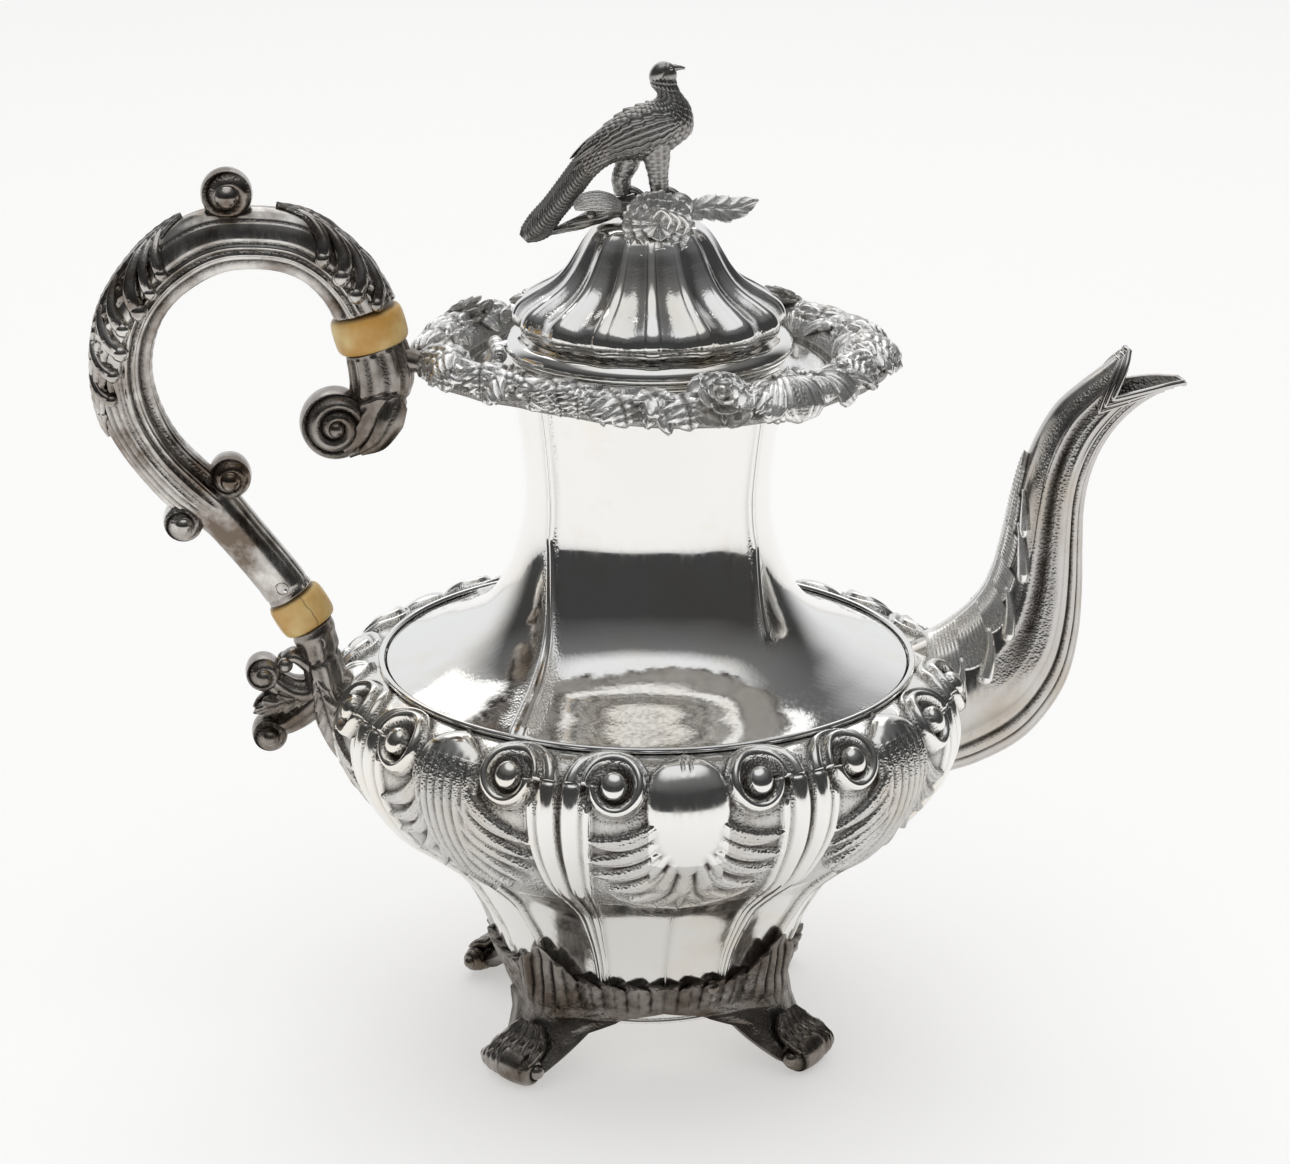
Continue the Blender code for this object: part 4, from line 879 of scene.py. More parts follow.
def build_lid():
    """The fluted dome, its moulded rim and the lining that drops into the mouth."""
    rows, columns = 150, 720
    outer = spline([
        (31.4, 191.7), (33.6, 193.2), (34.3, 195.6), (33.0, 198.6), (29.6, 201.0), (25.8, 203.2),
        (22.8, 205.6), (20.4, 208.6), (18.4, 212.0), (16.4, 215.6), (14.0, 218.4), (10.0, 219.9),
        (1.6, 220.3),
    ], rows)
    angle = full_turn(columns)
    away = np.abs((angle + 5.6 + FLUTE_PERIOD / 2.0) % FLUTE_PERIOD - FLUTE_PERIOD / 2.0)
    part = np.clip((away - ROLL_HALF) / (FLUTE_PERIOD / 2.0 - ROLL_HALF), 0.0, 1.0)
    roll = np.where(away < ROLL_HALF, 0.55 * np.sqrt(np.clip(1 - (away / ROLL_HALF) ** 2, 0, 1)), 0.0)
    flute = -1.0 * np.sin(part * math.pi / 2.0) ** 1.2
    z = outer[:, 1:]
    deep = table(z, (191.7, 0.15), (193.5, 0.75), (196.0, 1.0), (203.0, 1.0), (212.0, 0.62),
                 (218.0, 0.2), (219.6, 0.0))
    deep = deep * (np.arange(rows)[:, None] > 2)
    height = (roll + flute) * deep
    inner = spline([(1.6, 219.1), (12.0, 217.4), (18.6, 207.0), (24.8, 201.4), (32.0, 195.6),
                    (30.4, 191.7)], 12)
    full = np.vstack([height, np.zeros((len(inner), columns))])
    form = Form()
    form.revolved(np.vstack([outer, inner]), columns, full)
    form.make("fluted_dome", SILVER, "lid", "lid_dome")
    form = Form()
    form.revolved(spline([
        (30.6, 187.0), (35.7, 187.0), (36.6, 187.5), (36.9, 188.4), (36.5, 189.5), (35.6, 190.4),
        (34.4, 191.0), (33.2, 191.2), (32.2, 191.5), (30.6, 191.5),
    ], 60), 360)
    form.make("lid_rim", SILVER, "lid", "lid_flange")
    form = Form()
    form.revolved([(30.7, 182.6), (31.5, 182.6), (31.9, 183.2), (31.9, 186.7), (30.7, 186.7)], 180)
    form.make("lid_lining", SILVER, "lid", "lid_bezel")


# ---------------------------------------------------------------- finial
# Each run of ovals below lists one edge (X, Z), the opposite edge (X, Z) and half the width.
BIRD_STATIONS = [
    (-32.9, 217.2, -30.6, 214.9, 1.6), (-30.2, 221.5, -25.6, 216.9, 2.4),
    (-26.4, 225.8, -22.4, 221.4, 2.7), (-22.6, 230.8, -18.6, 226.0, 3.1),
    (-18.1, 236.8, -14.4, 231.6, 3.9), (-13.5, 242.0, -10.4, 234.9, 5.0),
    (-7.6, 246.4, -6.0, 236.0, 6.1), (-2.4, 248.8, 0.4, 235.8, 6.6),
    (1.2, 250.2, 6.6, 239.4, 6.2), (2.0, 251.6, 10.4, 243.2, 5.1),
    (1.6, 252.6, 9.8, 248.8, 3.7), (0.6, 254.0, 7.0, 252.8, 2.7),
    (0.2, 255.8, 6.2, 255.2, 2.4), (0.6, 257.6, 6.6, 257.0, 2.5), (1.8, 259.2, 6.0, 258.8, 1.8),
]


def feathers(rows, columns, along, around, depth):
    """Rounded overlapping scales, each row shifted by half a scale."""
    t = column(rows) * along
    turn = np.linspace(0.0, 1.0, columns, endpoint=False)[None, :] * around
    place = turn + 0.5 * (np.floor(t) % 2)
    x = (place % 1.0) - 0.5
    y = t % 1.0
    return depth * np.clip(1.0 - (2.0 * x) ** 2 - (1.25 * (y - 0.35)) ** 2, 0.0, 1.0) ** 0.5


def oval_skin(form, stations, rows, columns, relief):
    """Closed skin through ovals, with relief on it."""
    run = spline(stations, rows)
    a = np.stack([run[:, 0], np.zeros(rows), run[:, 1]], axis=1)
    b = np.stack([run[:, 2], np.zeros(rows), run[:, 3]], axis=1)
    centre = (a + b) / 2.0
    half = (a - b) / 2.0
    length = np.linalg.norm(half, axis=1, keepdims=True)
    turn = np.linspace(0.0, 2 * math.pi, columns, endpoint=False)
    ring = (
        centre[:, None, :]
        + (half / length)[:, None, :] * ((length + relief) * np.cos(turn))[..., None]
        + np.array([0.0, -1.0, 0.0]) * ((run[:, 4:5] + relief) * np.sin(turn))[..., None]
    )
    form.grid(ring, hollows(relief, 2.2))


def build_bird():
    """The pheasant, with feathers on its body and bars on its tail."""
    form = Form()
    rows, columns = 420, 224
    t = column(rows)
    around = np.abs(np.linspace(-1.0, 1.0, columns, endpoint=False))[None, :]
    body = feathers(rows, columns, 44, 20, 0.5)
    tail = 0.22 * np.cos(2 * math.pi * (t * 70.0 + 5.0 * np.abs(np.sin(around * math.pi))))
    tail += 0.4 * bump(np.sin(around * math.pi), 0.16)
    relief = np.where(t < 0.36, tail, body) * smooth(t, 0.0, 0.03) * (1.0 - smooth(t, 0.93, 0.97))
    oval_skin(form, BIRD_STATIONS, rows, columns, relief)
    form.ball((3.9, 0.0, 257.9), (2.25, 2.15, 2.1), 16, 28)
    form.ball((2.4, 0.0, 257.2), (2.4, 2.5, 3.3), 18, 28, axis=(0.62, 0.0, 0.78))
    form.tube(spline([(5.2, 0, 258.4), (7.2, 0, 258.5), (8.6, 0, 258.3)], 8),
              np.linspace(1.1, 0.3, 8), 14)
    # Eyes and wings.
    for side in (-1.0, 1.0):
        form.ball((4.9, 1.9 * side, 258.6), 0.5, 8, 12)
        form.leaf(
            [(6.4, 5.2 * side, 246.2), (0.0, 6.7 * side, 244.6), (-8.0, 5.7 * side, 241.4),
             (-17.0, 3.4 * side, 236.2)],
            (0.1, side, 0.25), 4.6, ((0, 0.5), (0.2, 0.95), (0.45, 1), (0.75, 0.62), (1, 0.12)),
            teeth=9, cut=0.1, arch=0.22, ribs=1.1, thick=0.8, rows=60, columns=33,
        )
        for offset in (-1.4, 0.9, 3.0):
            form.leaf(
                [(-6.0, 5.4 * side, 241.0 + offset), (-13.0, 4.2 * side, 237.6 + offset),
                 (-20.0, 2.4 * side, 232.6 + offset)],
                (0.1, side, 0.2), 1.2, arch=0.3, midrib=0.25, thick=0.5, rows=20, columns=9,
            )
    # Legs and toes.
    for x_top, x_foot, y, z_foot in ((1.0, 2.4, -2.4, 227.0), (-5.8, -6.4, 2.2, 226.4)):
        path = spline([(x_top, y, 240.5), (x_top + 0.5, y, 235.0), (x_foot - 0.5, y, 230.5),
                       (x_foot, y, z_foot)], 60)
        ringed = feathers(60, 24, 14, 6, 0.3)[::-1]
        form.tube(path, table(np.linspace(0, 1, 60), (0, 3.7), (0.3, 3.2), (0.6, 2.4), (1, 2.0)),
                  24, relief=ringed)
        for spread in (-24.0, 4.0, 30.0):
            turn = math.radians(spread)
            toe = Vector((math.cos(turn), math.sin(turn), 0.0))
            start = Vector((x_foot, y, z_foot + 0.6))
            form.tube(spline([start, start + toe * 2.6 + Vector((0, 0, 0.5)),
                              start + toe * 5.4 - Vector((0, 0, 0.9))], 12),
                      np.linspace(1.1, 0.35, 12), 12)
    form.make("pheasant", BIRD_SILVER, "lid", "finial_bird")


def build_flower():
    """Twig, carnation and leaves under the bird."""
    form = Form()
    bark = 0.22 * np.cos(np.linspace(0, 12 * math.pi, 80)[:, None] + np.linspace(
        0, 14 * math.pi, 28, endpoint=False)[None, :])
    form.tube(
        spline([(-25.4, 0, 217.4), (-20.4, 0, 218.9), (-14.0, 0, 221.2), (-9.0, 0, 223.2),
                (-3.0, 0, 224.2), (3.0, 0, 224.2), (8.0, 0, 222.8), (12.4, 0, 221.4)], 80),
        table(np.linspace(0, 1, 80), (0, 0.5), (0.2, 1.6), (0.5, 2.5), (0.8, 2.4), (1, 1.0)),
        28, flat=1.2, relief=bark,
    )
    for x, radius in ((-15.0, 1.4), (7.0, 1.2)):
        form.ball((x, -1.8, 222.2), radius, 8, 12)
    form.ball((0.0, -1.0, 221.6), (7.6, 5.4, 2.6), 14, 40, 0.05, 10)
    form.make("twig", BIRD_SILVER, "lid", "finial_branch")

    form = Form()
    heart = np.array([0.6, -11.2, 221.2])
    axis = unit((0.0, -0.86, 0.5))
    for radius, lift, waves, depth, start in (
        (8.6, -0.6, 9, 0.4, 0.0), (6.4, 0.6, 7, 0.5, 0.4), (4.2, 1.7, 5, 0.5, 0.9),
    ):
        form.frill(heart + axis * lift, axis, radius, waves, depth, 0.14, 0.45, start)
    for offset, height in ((0.0, 1.0), (2.2, 0.4), (4.2, -0.4)):
        form.tube(
            spline([heart + (offset - 1.5, -1.4, 1.0 + height),
                    heart + (offset + 0.6, -2.6, 3.6 + height),
                    heart + (offset + 2.8, -2.6, 1.0 + height),
                    heart + (offset + 2.0, -2.2, -1.6 + height)], 20),
            table(np.linspace(0, 1, 20), (0, 0.3), (0.5, 0.75), (1, 0.3)), 10,
        )
    form.make("carnation", CAST, "lid", "finial_flower")

    blade = ((0, 0.35), (0.2, 0.85), (0.5, 1.0), (0.8, 0.85), (1, 0.3))
    form = Form()
    form.leaf([(-7.6, -4.6, 224.9), (-12.0, -5.0, 226.2), (-16.0, -4.6, 226.2),
               (-19.6, -4.4, 224.8)], (0, -0.75, 0.65), 2.9, blade, arch=0.2, ribs=0.9,
              thick=0.5, rows=36, columns=25)
    form.make("leaf_left", CAST, "lid", "finial_leaf_left")
    form = Form()
    form.leaf([(8.8, -4.0, 222.6), (14.0, -4.6, 224.0), (20.4, -4.6, 223.6), (27.0, -4.2, 225.6)],
              (0, -0.85, 0.5), 3.6, ((0, 0.6), (0.3, 0.95), (0.55, 1.0), (0.85, 0.6), (1, 0.06)),
              teeth=5, cut=0.1, arch=0.15, veins=0.5, midrib=0.25, thick=0.5, rows=60, columns=25)
    form.leaf([(3.0, -6.0, 223.4), (6.4, -7.2, 225.6), (9.6, -6.2, 223.0)], (0, -1, 0.4), 3.0,
              blade, arch=0.3, ribs=0.9, thick=0.6, rows=24, columns=17)
    form.make("leaf_right", CAST, "lid", "finial_leaf_right")


# ---------------------------------------------------------------- spout
SPOUT_STATIONS = [
    (70.0, 103.5, 74.0, 66.0, 13.5), (79.0, 107.6, 89.0, 70.6, 13.2),
    (85.6, 112.6, 100.4, 76.4, 12.6), (89.6, 117.2, 108.0, 84.6, 11.8),
    (92.2, 122.6, 113.0, 94.0, 10.8), (94.0, 128.8, 115.4, 106.0, 9.8),
    (95.6, 136.4, 115.8, 118.4, 9.0), (97.3, 145.0, 115.3, 130.6, 8.4),
    (99.4, 153.6, 115.1, 141.0, 7.9), (102.6, 161.6, 116.2, 149.4, 7.5),
    (107.0, 168.8, 118.8, 156.8, 7.2), (113.0, 174.2, 123.2, 163.6, 7.0),
    (118.6, 178.4, 129.0, 168.8, 6.9), (122.4, 181.4, 135.4, 172.2, 6.6),
    (124.6, 183.2, 140.6, 173.6, 4.6),
]


def oval_points(stations, along, turn, lift=0.0):
    """Points on a skin through ovals: along runs 0 to 1, turn is in degrees from the first edge."""
    run = spline(stations, 400)
    place = np.linspace(0.0, 1.0, 400)
    ax, az, bx, bz, width = (np.interp(along, place, run[:, k]) for k in range(5))
    half_x = (ax - bx) / 2.0
    half_z = (az - bz) / 2.0
    length = np.hypot(half_x, half_z)
    reach = (length + lift) / length * np.cos(np.radians(turn))
    x = (ax + bx) / 2.0 + half_x * reach
    z = (az + bz) / 2.0 + half_z * reach
    y = -(width + lift) * np.sin(np.radians(turn))
    return np.stack(np.broadcast_arrays(x, y, z), axis=-1)


def spout_relief(along, turn):
    """Long flutes and rolls down the spout's sides, which fade towards the mouth."""
    side = folded(turn)
    fade = smooth(along, 0.12, 0.34) * (1.0 - 0.5 * smooth(along, 0.7, 0.9))
    low_fade = smooth(along, 0.0, 0.1) * (1.0 - 0.4 * smooth(along, 0.75, 0.95))
    height = 0.0
    for crest, size, strength in ((62, 3.4, 0.5), (86, 2.6, 0.3), (101, 5.0, 0.6)):
        height = height + strength * bump(side - crest, size) * fade
    height = height - 1.0 * bump(side - 77, 12.0) * fade
    for crest, size, strength in ((112, 4.0, 0.75), (128, 3.4, 0.85), (141, 2.6, 0.8), (151, 2.2, 0.6)):
        height = height + strength * bump(side - crest, size) * low_fade
    height = height - 0.5 * bump(side - 120, 4.0) * low_fade - 0.4 * bump(side - 135, 3.0) * low_fade
    hatch = 0.12 * np.cos(along * 900.0) * np.cos(np.radians(side) * 30.0)
    return height + hatch * (side > 156) * low_fade


def mouth_end(turn):
    """How far along the spout its wall goes: a V is cut into each side of the mouth."""
    return 1.0 - 0.118 * np.clip(1.0 - np.abs(folded(turn) - 84.0) / 62.0, 0.0, 1.0)


def build_spout():
    """The hollow swan-neck spout and the leaf on its root."""
    rows, inner_rows, columns = 300, 40, 216
    turn = full_turn(columns)
    along = column(rows) * mouth_end(turn)
    relief = spout_relief(along, turn)
    outer = oval_points(SPOUT_STATIONS, along, turn, relief)
    inner_along = column(inner_rows)[::-1] * mouth_end(turn)
    inner = oval_points(SPOUT_STATIONS, inner_along, turn, -1.0)
    # Dirt stays in the wide flute, under the mouth and along the plain lower strip.
    side = folded(turn)
    flute = 0.5 * bump(side - 78.0, 13.0) * smooth(along, 0.16, 0.3)
    flute = flute + 0.55 * (side > 154) + 0.35 * bump(side - 40.0, 10.0) * smooth(along, 0.6, 0.75)
    recess = np.vstack([
        np.clip(hollows(relief, 1.9) + flute, 0, 1), np.full((inner_rows, columns), 0.7),
    ])
    form = Form()
    form.grid(np.vstack([outer, inner]), recess, loop=True)
    # Three fine mouldings follow the mouth's edge.
    edge_turn = full_turn(180)[0]
    for back, size in ((0.0, 0.8), (0.022, 0.6), (0.040, 0.5)):
        line = oval_points(SPOUT_STATIONS, mouth_end(edge_turn) - back, edge_turn, 0.1)
        form.tube(line, size, 10, loop=True)
    form.make("swan_spout", SPOUT_SILVER, "pot", "spout")

    # Acanthus leaf along the upper side of the root.
    form = Form()
    draped_leaf(form, SPOUT_STATIONS, 0.015, 0.675,
                ((0, 84), (0.12, 74), (0.3, 56), (0.5, 44), (0.75, 30), (0.95, 14), (1, 3)), 7, 0.9,
                12.0, 0.12, 380.0, sweep=0.045, notch=0.26)
    # Rounded lobes hang from the leaf's edge down the side of the spout.
    for side in (-1.0, 1.0):
        for start, tip, swing, size in (
            (0.60, 0.500, 44.0, 1.2), (0.52, 0.395, 54.0, 1.6), (0.34, 0.25, 62.0, 1.8),
            (0.22, 0.15, 74.0, 2.2), (0.12, 0.06, 84.0, 2.2),
        ):
            t = np.linspace(0.0, 1.0, 40)
            run = oval_points(SPOUT_STATIONS, start + (tip - start) * t,
                              side * swing * (0.55 + 0.45 * t ** 0.6), 0.7)
            form.tube(run, size * table(t, (0, 0.3), (0.5, 0.8), (0.85, 1.0), (0.96, 0.7), (1, 0.2)),
                      24, flat=1.3)
    form.make("spout_acanthus", CAST, "pot", "spout_root_leaf")


# ---------------------------------------------------------------- handle
GRIP_STATIONS = [
    (-64.8, 201.0, -79.4, 196.0, 6.8), (-67.9, 206.8, -81.8, 200.7, 6.9),
    (-72.3, 212.8, -84.5, 204.2, 7.0), (-77.6, 218.0, -87.6, 206.9, 7.0),
    (-84.5, 223.0, -91.5, 208.8, 7.0), (-91.6, 225.2, -95.8, 209.8, 7.0),
    (-100.0, 226.0, -100.4, 210.1, 7.0), (-107.6, 226.0, -104.9, 209.8, 7.0),
    (-114.4, 224.4, -109.0, 208.6, 7.0), (-121.4, 220.6, -113.2, 206.4, 7.0),
    (-127.9, 215.0, -118.0, 202.9, 7.0), (-134.0, 207.3, -121.6, 198.6, 7.0),
    (-138.0, 199.4, -123.9, 193.6, 7.0), (-139.8, 190.5, -125.1, 188.0, 7.0),
    (-139.8, 181.0, -125.0, 182.2, 7.0), (-138.0, 172.2, -123.4, 176.0, 7.0),
    (-134.1, 164.2, -120.6, 169.8, 7.0), (-129.2, 157.0, -116.9, 164.6, 7.0),
    (-123.8, 150.4, -112.0, 159.6, 6.6), (-118.4, 145.6, -108.0, 155.2, 6.2),
    (-113.2, 141.6, -104.2, 150.8, 5.8), (-107.4, 134.6, -99.0, 143.8, 5.6),
    (-101.6, 127.0, -92.6, 135.4, 5.6), (-97.4, 120.6, -86.8, 127.2, 5.8),
]
UPPER_SOCKET_STATIONS = [
    (-62.3, 191.8, -76.9, 186.8, 6.8), (-60.9, 187.4, -76.3, 183.0, 7.0),
    (-60.1, 181.4, -76.0, 178.6, 7.2), (-61.4, 175.0, -76.6, 174.6, 7.0),
    (-64.4, 168.4, -77.6, 171.6, 6.6), (-69.4, 163.4, -79.0, 169.0, 6.0),
    (-76.4, 160.9, -80.4, 167.0, 5.6),
]
LOWER_SOCKET_STATIONS = [
    (-82.4, 118.2, -92.2, 113.0, 6.0), (-81.0, 112.2, -90.8, 108.4, 6.4),
    (-79.6, 105.6, -89.6, 102.6, 7.0), (-77.6, 98.6, -88.6, 96.6, 7.4),
    (-75.6, 91.4, -86.4, 88.2, 6.6), (-73.0, 84.0, -82.4, 80.0, 4.6),
    (-70.4, 77.4, -77.4, 74.6, 2.4),
]
# Leaf lobes of the two caps: where each starts and ends along the grip, its turn and its size.
RIGHT_CAP = [
    (0.17, 0.113, 82, 2.1), (0.15, 0.074, 84, 2.5), (0.12, 0.038, 84, 2.3), (0.09, 0.012, 62, 1.9),
]
LEFT_CAP = [
    (0.335, 0.372, 84, 1.7), (0.345, 0.404, 92, 1.8), (0.36, 0.438, 94, 2.5),
    (0.41, 0.474, 82, 2.0), (0.45, 0.510, 86, 2.2), (0.50, 0.546, 74, 1.8), (0.54, 0.582, 66, 1.6),
]


def scroll(form, centre, radius, half, axis=(0.0, 1.0, 0.0), windings=1.2, sense=1.0, ball=0.5):
    """A rolled scroll end with a spiral groove and a ball on each face; half is half its length."""
    centre = np.asarray(centre, float)
    axis = unit(axis)
    first = unit(np.cross(axis, (0.0, 0.0, 1.0)))
    second = np.cross(axis, first)
    turn = np.radians(full_turn(96))
    part = np.concatenate([np.linspace(0.05, 1.0, 40), np.ones(9), np.linspace(1.0, 0.05, 40)])[:, None]
    face = np.concatenate([np.full(40, -1.0), np.linspace(-0.86, 0.86, 9), np.full(40, 1.0)])[:, None]
    phase = windings * part - sense * turn / (2 * math.pi)
    on_face = np.abs(face) > 0.9
    ridge = np.where(on_face, np.abs(np.cos(math.pi * phase)) ** 0.7, 1.0)
    depth = 0.2 * radius * (1.0 - ridge) * smooth(part, 1.0, 0.9)
    reach = half * np.sqrt(1.0 - (0.9 * part) ** 4) * np.where(on_face, np.sign(face), face)
    reach = reach - np.sign(face) * depth
    size = radius * part * np.where(on_face, 1.0, 1.0 + 0.06 * (1 - face ** 2))
    ring = (
        centre + reach[..., None] * axis
        + (size * np.cos(turn))[..., None] * first + (size * np.sin(turn))[..., None] * second
    )
    form.grid(ring, np.clip((1.0 - ridge) * 1.3, 0, 1) * np.ones_like(turn))
    for end in (-1.0, 1.0):
        form.ball(centre + axis * end * half * 0.94, radius * ball, 14, 24)


def draped_leaf(form, stations, start, tip, reach, teeth, lift, ribs, hatch, lines, sweep=0.0,
                notch=0.12):
    """A toothed, ribbed leaf lying over the first edge of a run of ovals."""
    rows, columns = 200, 61
    t = column(rows)
    u = np.linspace(-1.0, 1.0, columns)[None, :]
    wide = table(t[:, 0], *reach)
    cut = 1.0 - notch + 1.3 * notch * ((t[:, 0] * teeth) % 1.0) ** 0.7
    angle = u * (wide * cut)[:, None]
    direction = math.copysign(1.0, tip - start)
    along = start + t * (tip - start) + direction * sweep * (1 - np.abs(u)) * (1 - t)
    fine = hatch * np.cos(t * lines - 6.0 * np.abs(u)) * np.minimum(np.abs(u) * 5, 1)
    pleats = 0.25 * np.cos(u * ribs) - 0.5 * bump(u, 0.07)
    veins = (fine + pleats) * smooth(t, 0.0, 0.05)
    top = oval_points(stations, along, angle, lift * (1.0 + 0.6 * (1 - u ** 2)) + veins)
    under = oval_points(stations, along, angle, 0.1 * np.ones_like(veins))
    hollow = np.clip(-veins * 1.3, 0, 1)
    form.grid(np.concatenate([top, under[:, ::-1]], axis=1),
              np.concatenate([hollow, np.full(hollow.shape, 0.8)], axis=1))


def cap_lobe(form, start, end, turn, size, side):
    """One finger of a leaf cap: it leaves the outer edge, curls down the side, ends in a pearl."""
    places = ((0.0, 0.12), (0.35, 0.34), (0.7, 0.62), (0.9, 0.84), (1.0, 1.0))
    path = [
        oval_points(GRIP_STATIONS, start + (end - start) * a, side * turn * b, 0.5 + 0.5 * b)
        for a, b in places
    ]
    run = spline(path, 40)
    t = np.linspace(0.0, 1.0, 40)
    relief = 0.08 * np.cos(np.radians(full_turn(24)) * 5) * np.ones((40, 1))
    form.tube(run, size * table(t, (0, 0.25), (0.5, 0.7), (0.85, 0.9), (1, 0.8)), 24, flat=0.9,
              relief=relief)
    form.ball(run[-1], size * 0.98, 14, 24)


def pin(name, node_name, centre, reach):
    """A cross pin with rounded heads."""
    form = Form()
    y = np.concatenate([[-1.0], np.linspace(-0.97, -0.9, 4), np.linspace(-0.85, 0.85, 4),
                        np.linspace(0.9, 0.97, 4), [1.0]])
    path = np.array([(centre[0], reach * part, centre[1]) for part in y])
    radius = table(np.abs(y), (0, 0.85), (0.9, 0.85), (0.95, 0.7), (0.98, 0.45), (1, 0.1))
    form.tube(path, radius, 24, across=(0, 0, 1))
    form.make(name, SILVER, "pot", node_name)


def ring_mark(form, centre, y, radius, size):
    """A raised ring on both sides round a pin."""
    turn = np.radians(full_turn(40)[0])
    for side in (-1.0, 1.0):
        path = np.stack([centre[0] + radius * np.cos(turn), np.full(40, side * y),
                         centre[1] + radius * np.sin(turn)], axis=1)
        form.tube(path, size, 10, loop=True)


def grip_relief(along, turn):
    """Mouldings along the scroll, a punched inner strip and a groove at the stem's end."""
    side = folded(turn)
    curved = 1.0 - smooth(along, 0.76, 0.82)
    lower = smooth(along, 0.5, 0.6) * curved
    height = (
        0.55 * bump(side - 97, 3.4) + 0.5 * bump(side - 112, 2.6) + 0.5 * bump(side - 119, 2.6)
        + 0.5 * bump(side - 150, 4.5) - 0.5 * bump(side - 104.5, 3.2) - 0.9 * bump(side - 133, 9.0)
        - 0.35 * bump(side - 48, 2.4) - 0.3 * bump(side - 88, 2.6)
    ) * curved
    height = height + 0.28 * np.cos(np.radians(side * 24.0)) * (side < 84) * lower
    speckle = 0.05 * np.sin(along * 1500.0) * np.sin(np.radians(turn * 31.0)) * (side > 156) * curved
    stem = -0.25 * bump(along - 0.988, 0.004)
    return (height + speckle + stem) * smooth(along, 0.0, 0.012)


def build_grip():
    """The C-scroll with its leaf caps, thumb scroll and small volutes."""
    rows, columns = 520, 180
    turn = full_turn(columns)
    along = np.linspace(0.004, 0.996, rows)[:, None]
    relief = grip_relief(along, turn)
    form = Form()
    form.grid(oval_points(GRIP_STATIONS, along, turn, relief), hollows(relief, 1.7))
    draped_leaf(form, GRIP_STATIONS, 0.005, 0.195, ((0, 74), (0.3, 62), (0.6, 44), (0.85, 24), (1, 2)),
                5, 0.7, 26.0, 0.05, 90.0)
    draped_leaf(form, GRIP_STATIONS, 0.64, 0.31, ((0, 6), (0.1, 40), (0.3, 66), (0.7, 62), (0.9, 34),
                (1, 2)), 9, 0.7, 22.0, 0.06, 150.0)
    for side in (-1.0, 1.0):
        for start, end, swing, size in RIGHT_CAP + LEFT_CAP:
            cap_lobe(form, start, end, swing, size, side)
    scroll(form, (-105.4, 0.0, 229.2), 6.1, 5.2, windings=1.3)
    scroll(form, (-106.9, 0.0, 156.6), 5.2, 6.2)
    scroll(form, (-119.0, 0.0, 145.2), 4.9, 6.0, sense=-1.0)
    ring_mark(form, (-94.8, 127.4), 5.45, 1.5, 0.32)
    form.make("c_scroll", DARK, "pot", "handle_grip")


def build_upper_socket():
    """The socket that hangs from the collar and ends in the big scroll."""
    rows, columns = 220, 144
    turn = full_turn(columns)
    along = column(rows)
    neck = 1.0 - smooth(along, 0.34, 0.42)
    side = folded(turn)
    relief = 0.4 * np.cos(np.radians(turn * 11.0)) * neck * smooth(along, 0.0, 0.04)
    relief = relief - 0.7 * bump(along - 0.41 - 0.05 * np.cos(np.radians(side * 2.0)), 0.02)
    low = smooth(along, 0.45, 0.55)
    for crest in (30, 62, 118, 150):
        relief = relief + 0.5 * bump(side - crest, 4.0) * low
    form = Form()
    form.grid(oval_points(UPPER_SOCKET_STATIONS, along, turn, relief), hollows(relief, 1.7))
    scroll(form, (-80.0, 0.0, 169.6), 8.5, 7.2, windings=2.3, ball=0.24)
    for side in (-1.0, 1.0):
        form.leaf([(-74.0, side * 6.2, 163.0), (-69.6, side * 7.8, 166.4), (-66.6, side * 8.0, 171.4),
                   (-64.0, side * 6.8, 177.4)], (0, side, 0), 3.6,
                  ((0, 0.2), (0.3, 0.7), (0.65, 1.0), (0.9, 0.8), (1, 0.3)), arch=0.3, thick=1.6,
                  rows=40, columns=21, midrib=0.3)
    form.tube(spline([(-68.0, 0, 187.0), (-63.4, 0, 186.2), (-60.2, 0, 185.2), (-57.0, 0, 184.6)], 12),
              np.array([4.0, 3.8, 3.4, 3.1, 3.0, 2.9, 2.9, 2.9, 2.9, 2.8, 2.7, 2.4]), 24, flat=1.45)
    form.make("upper_socket", FOOT_SILVER, "pot", "handle_upper_socket")


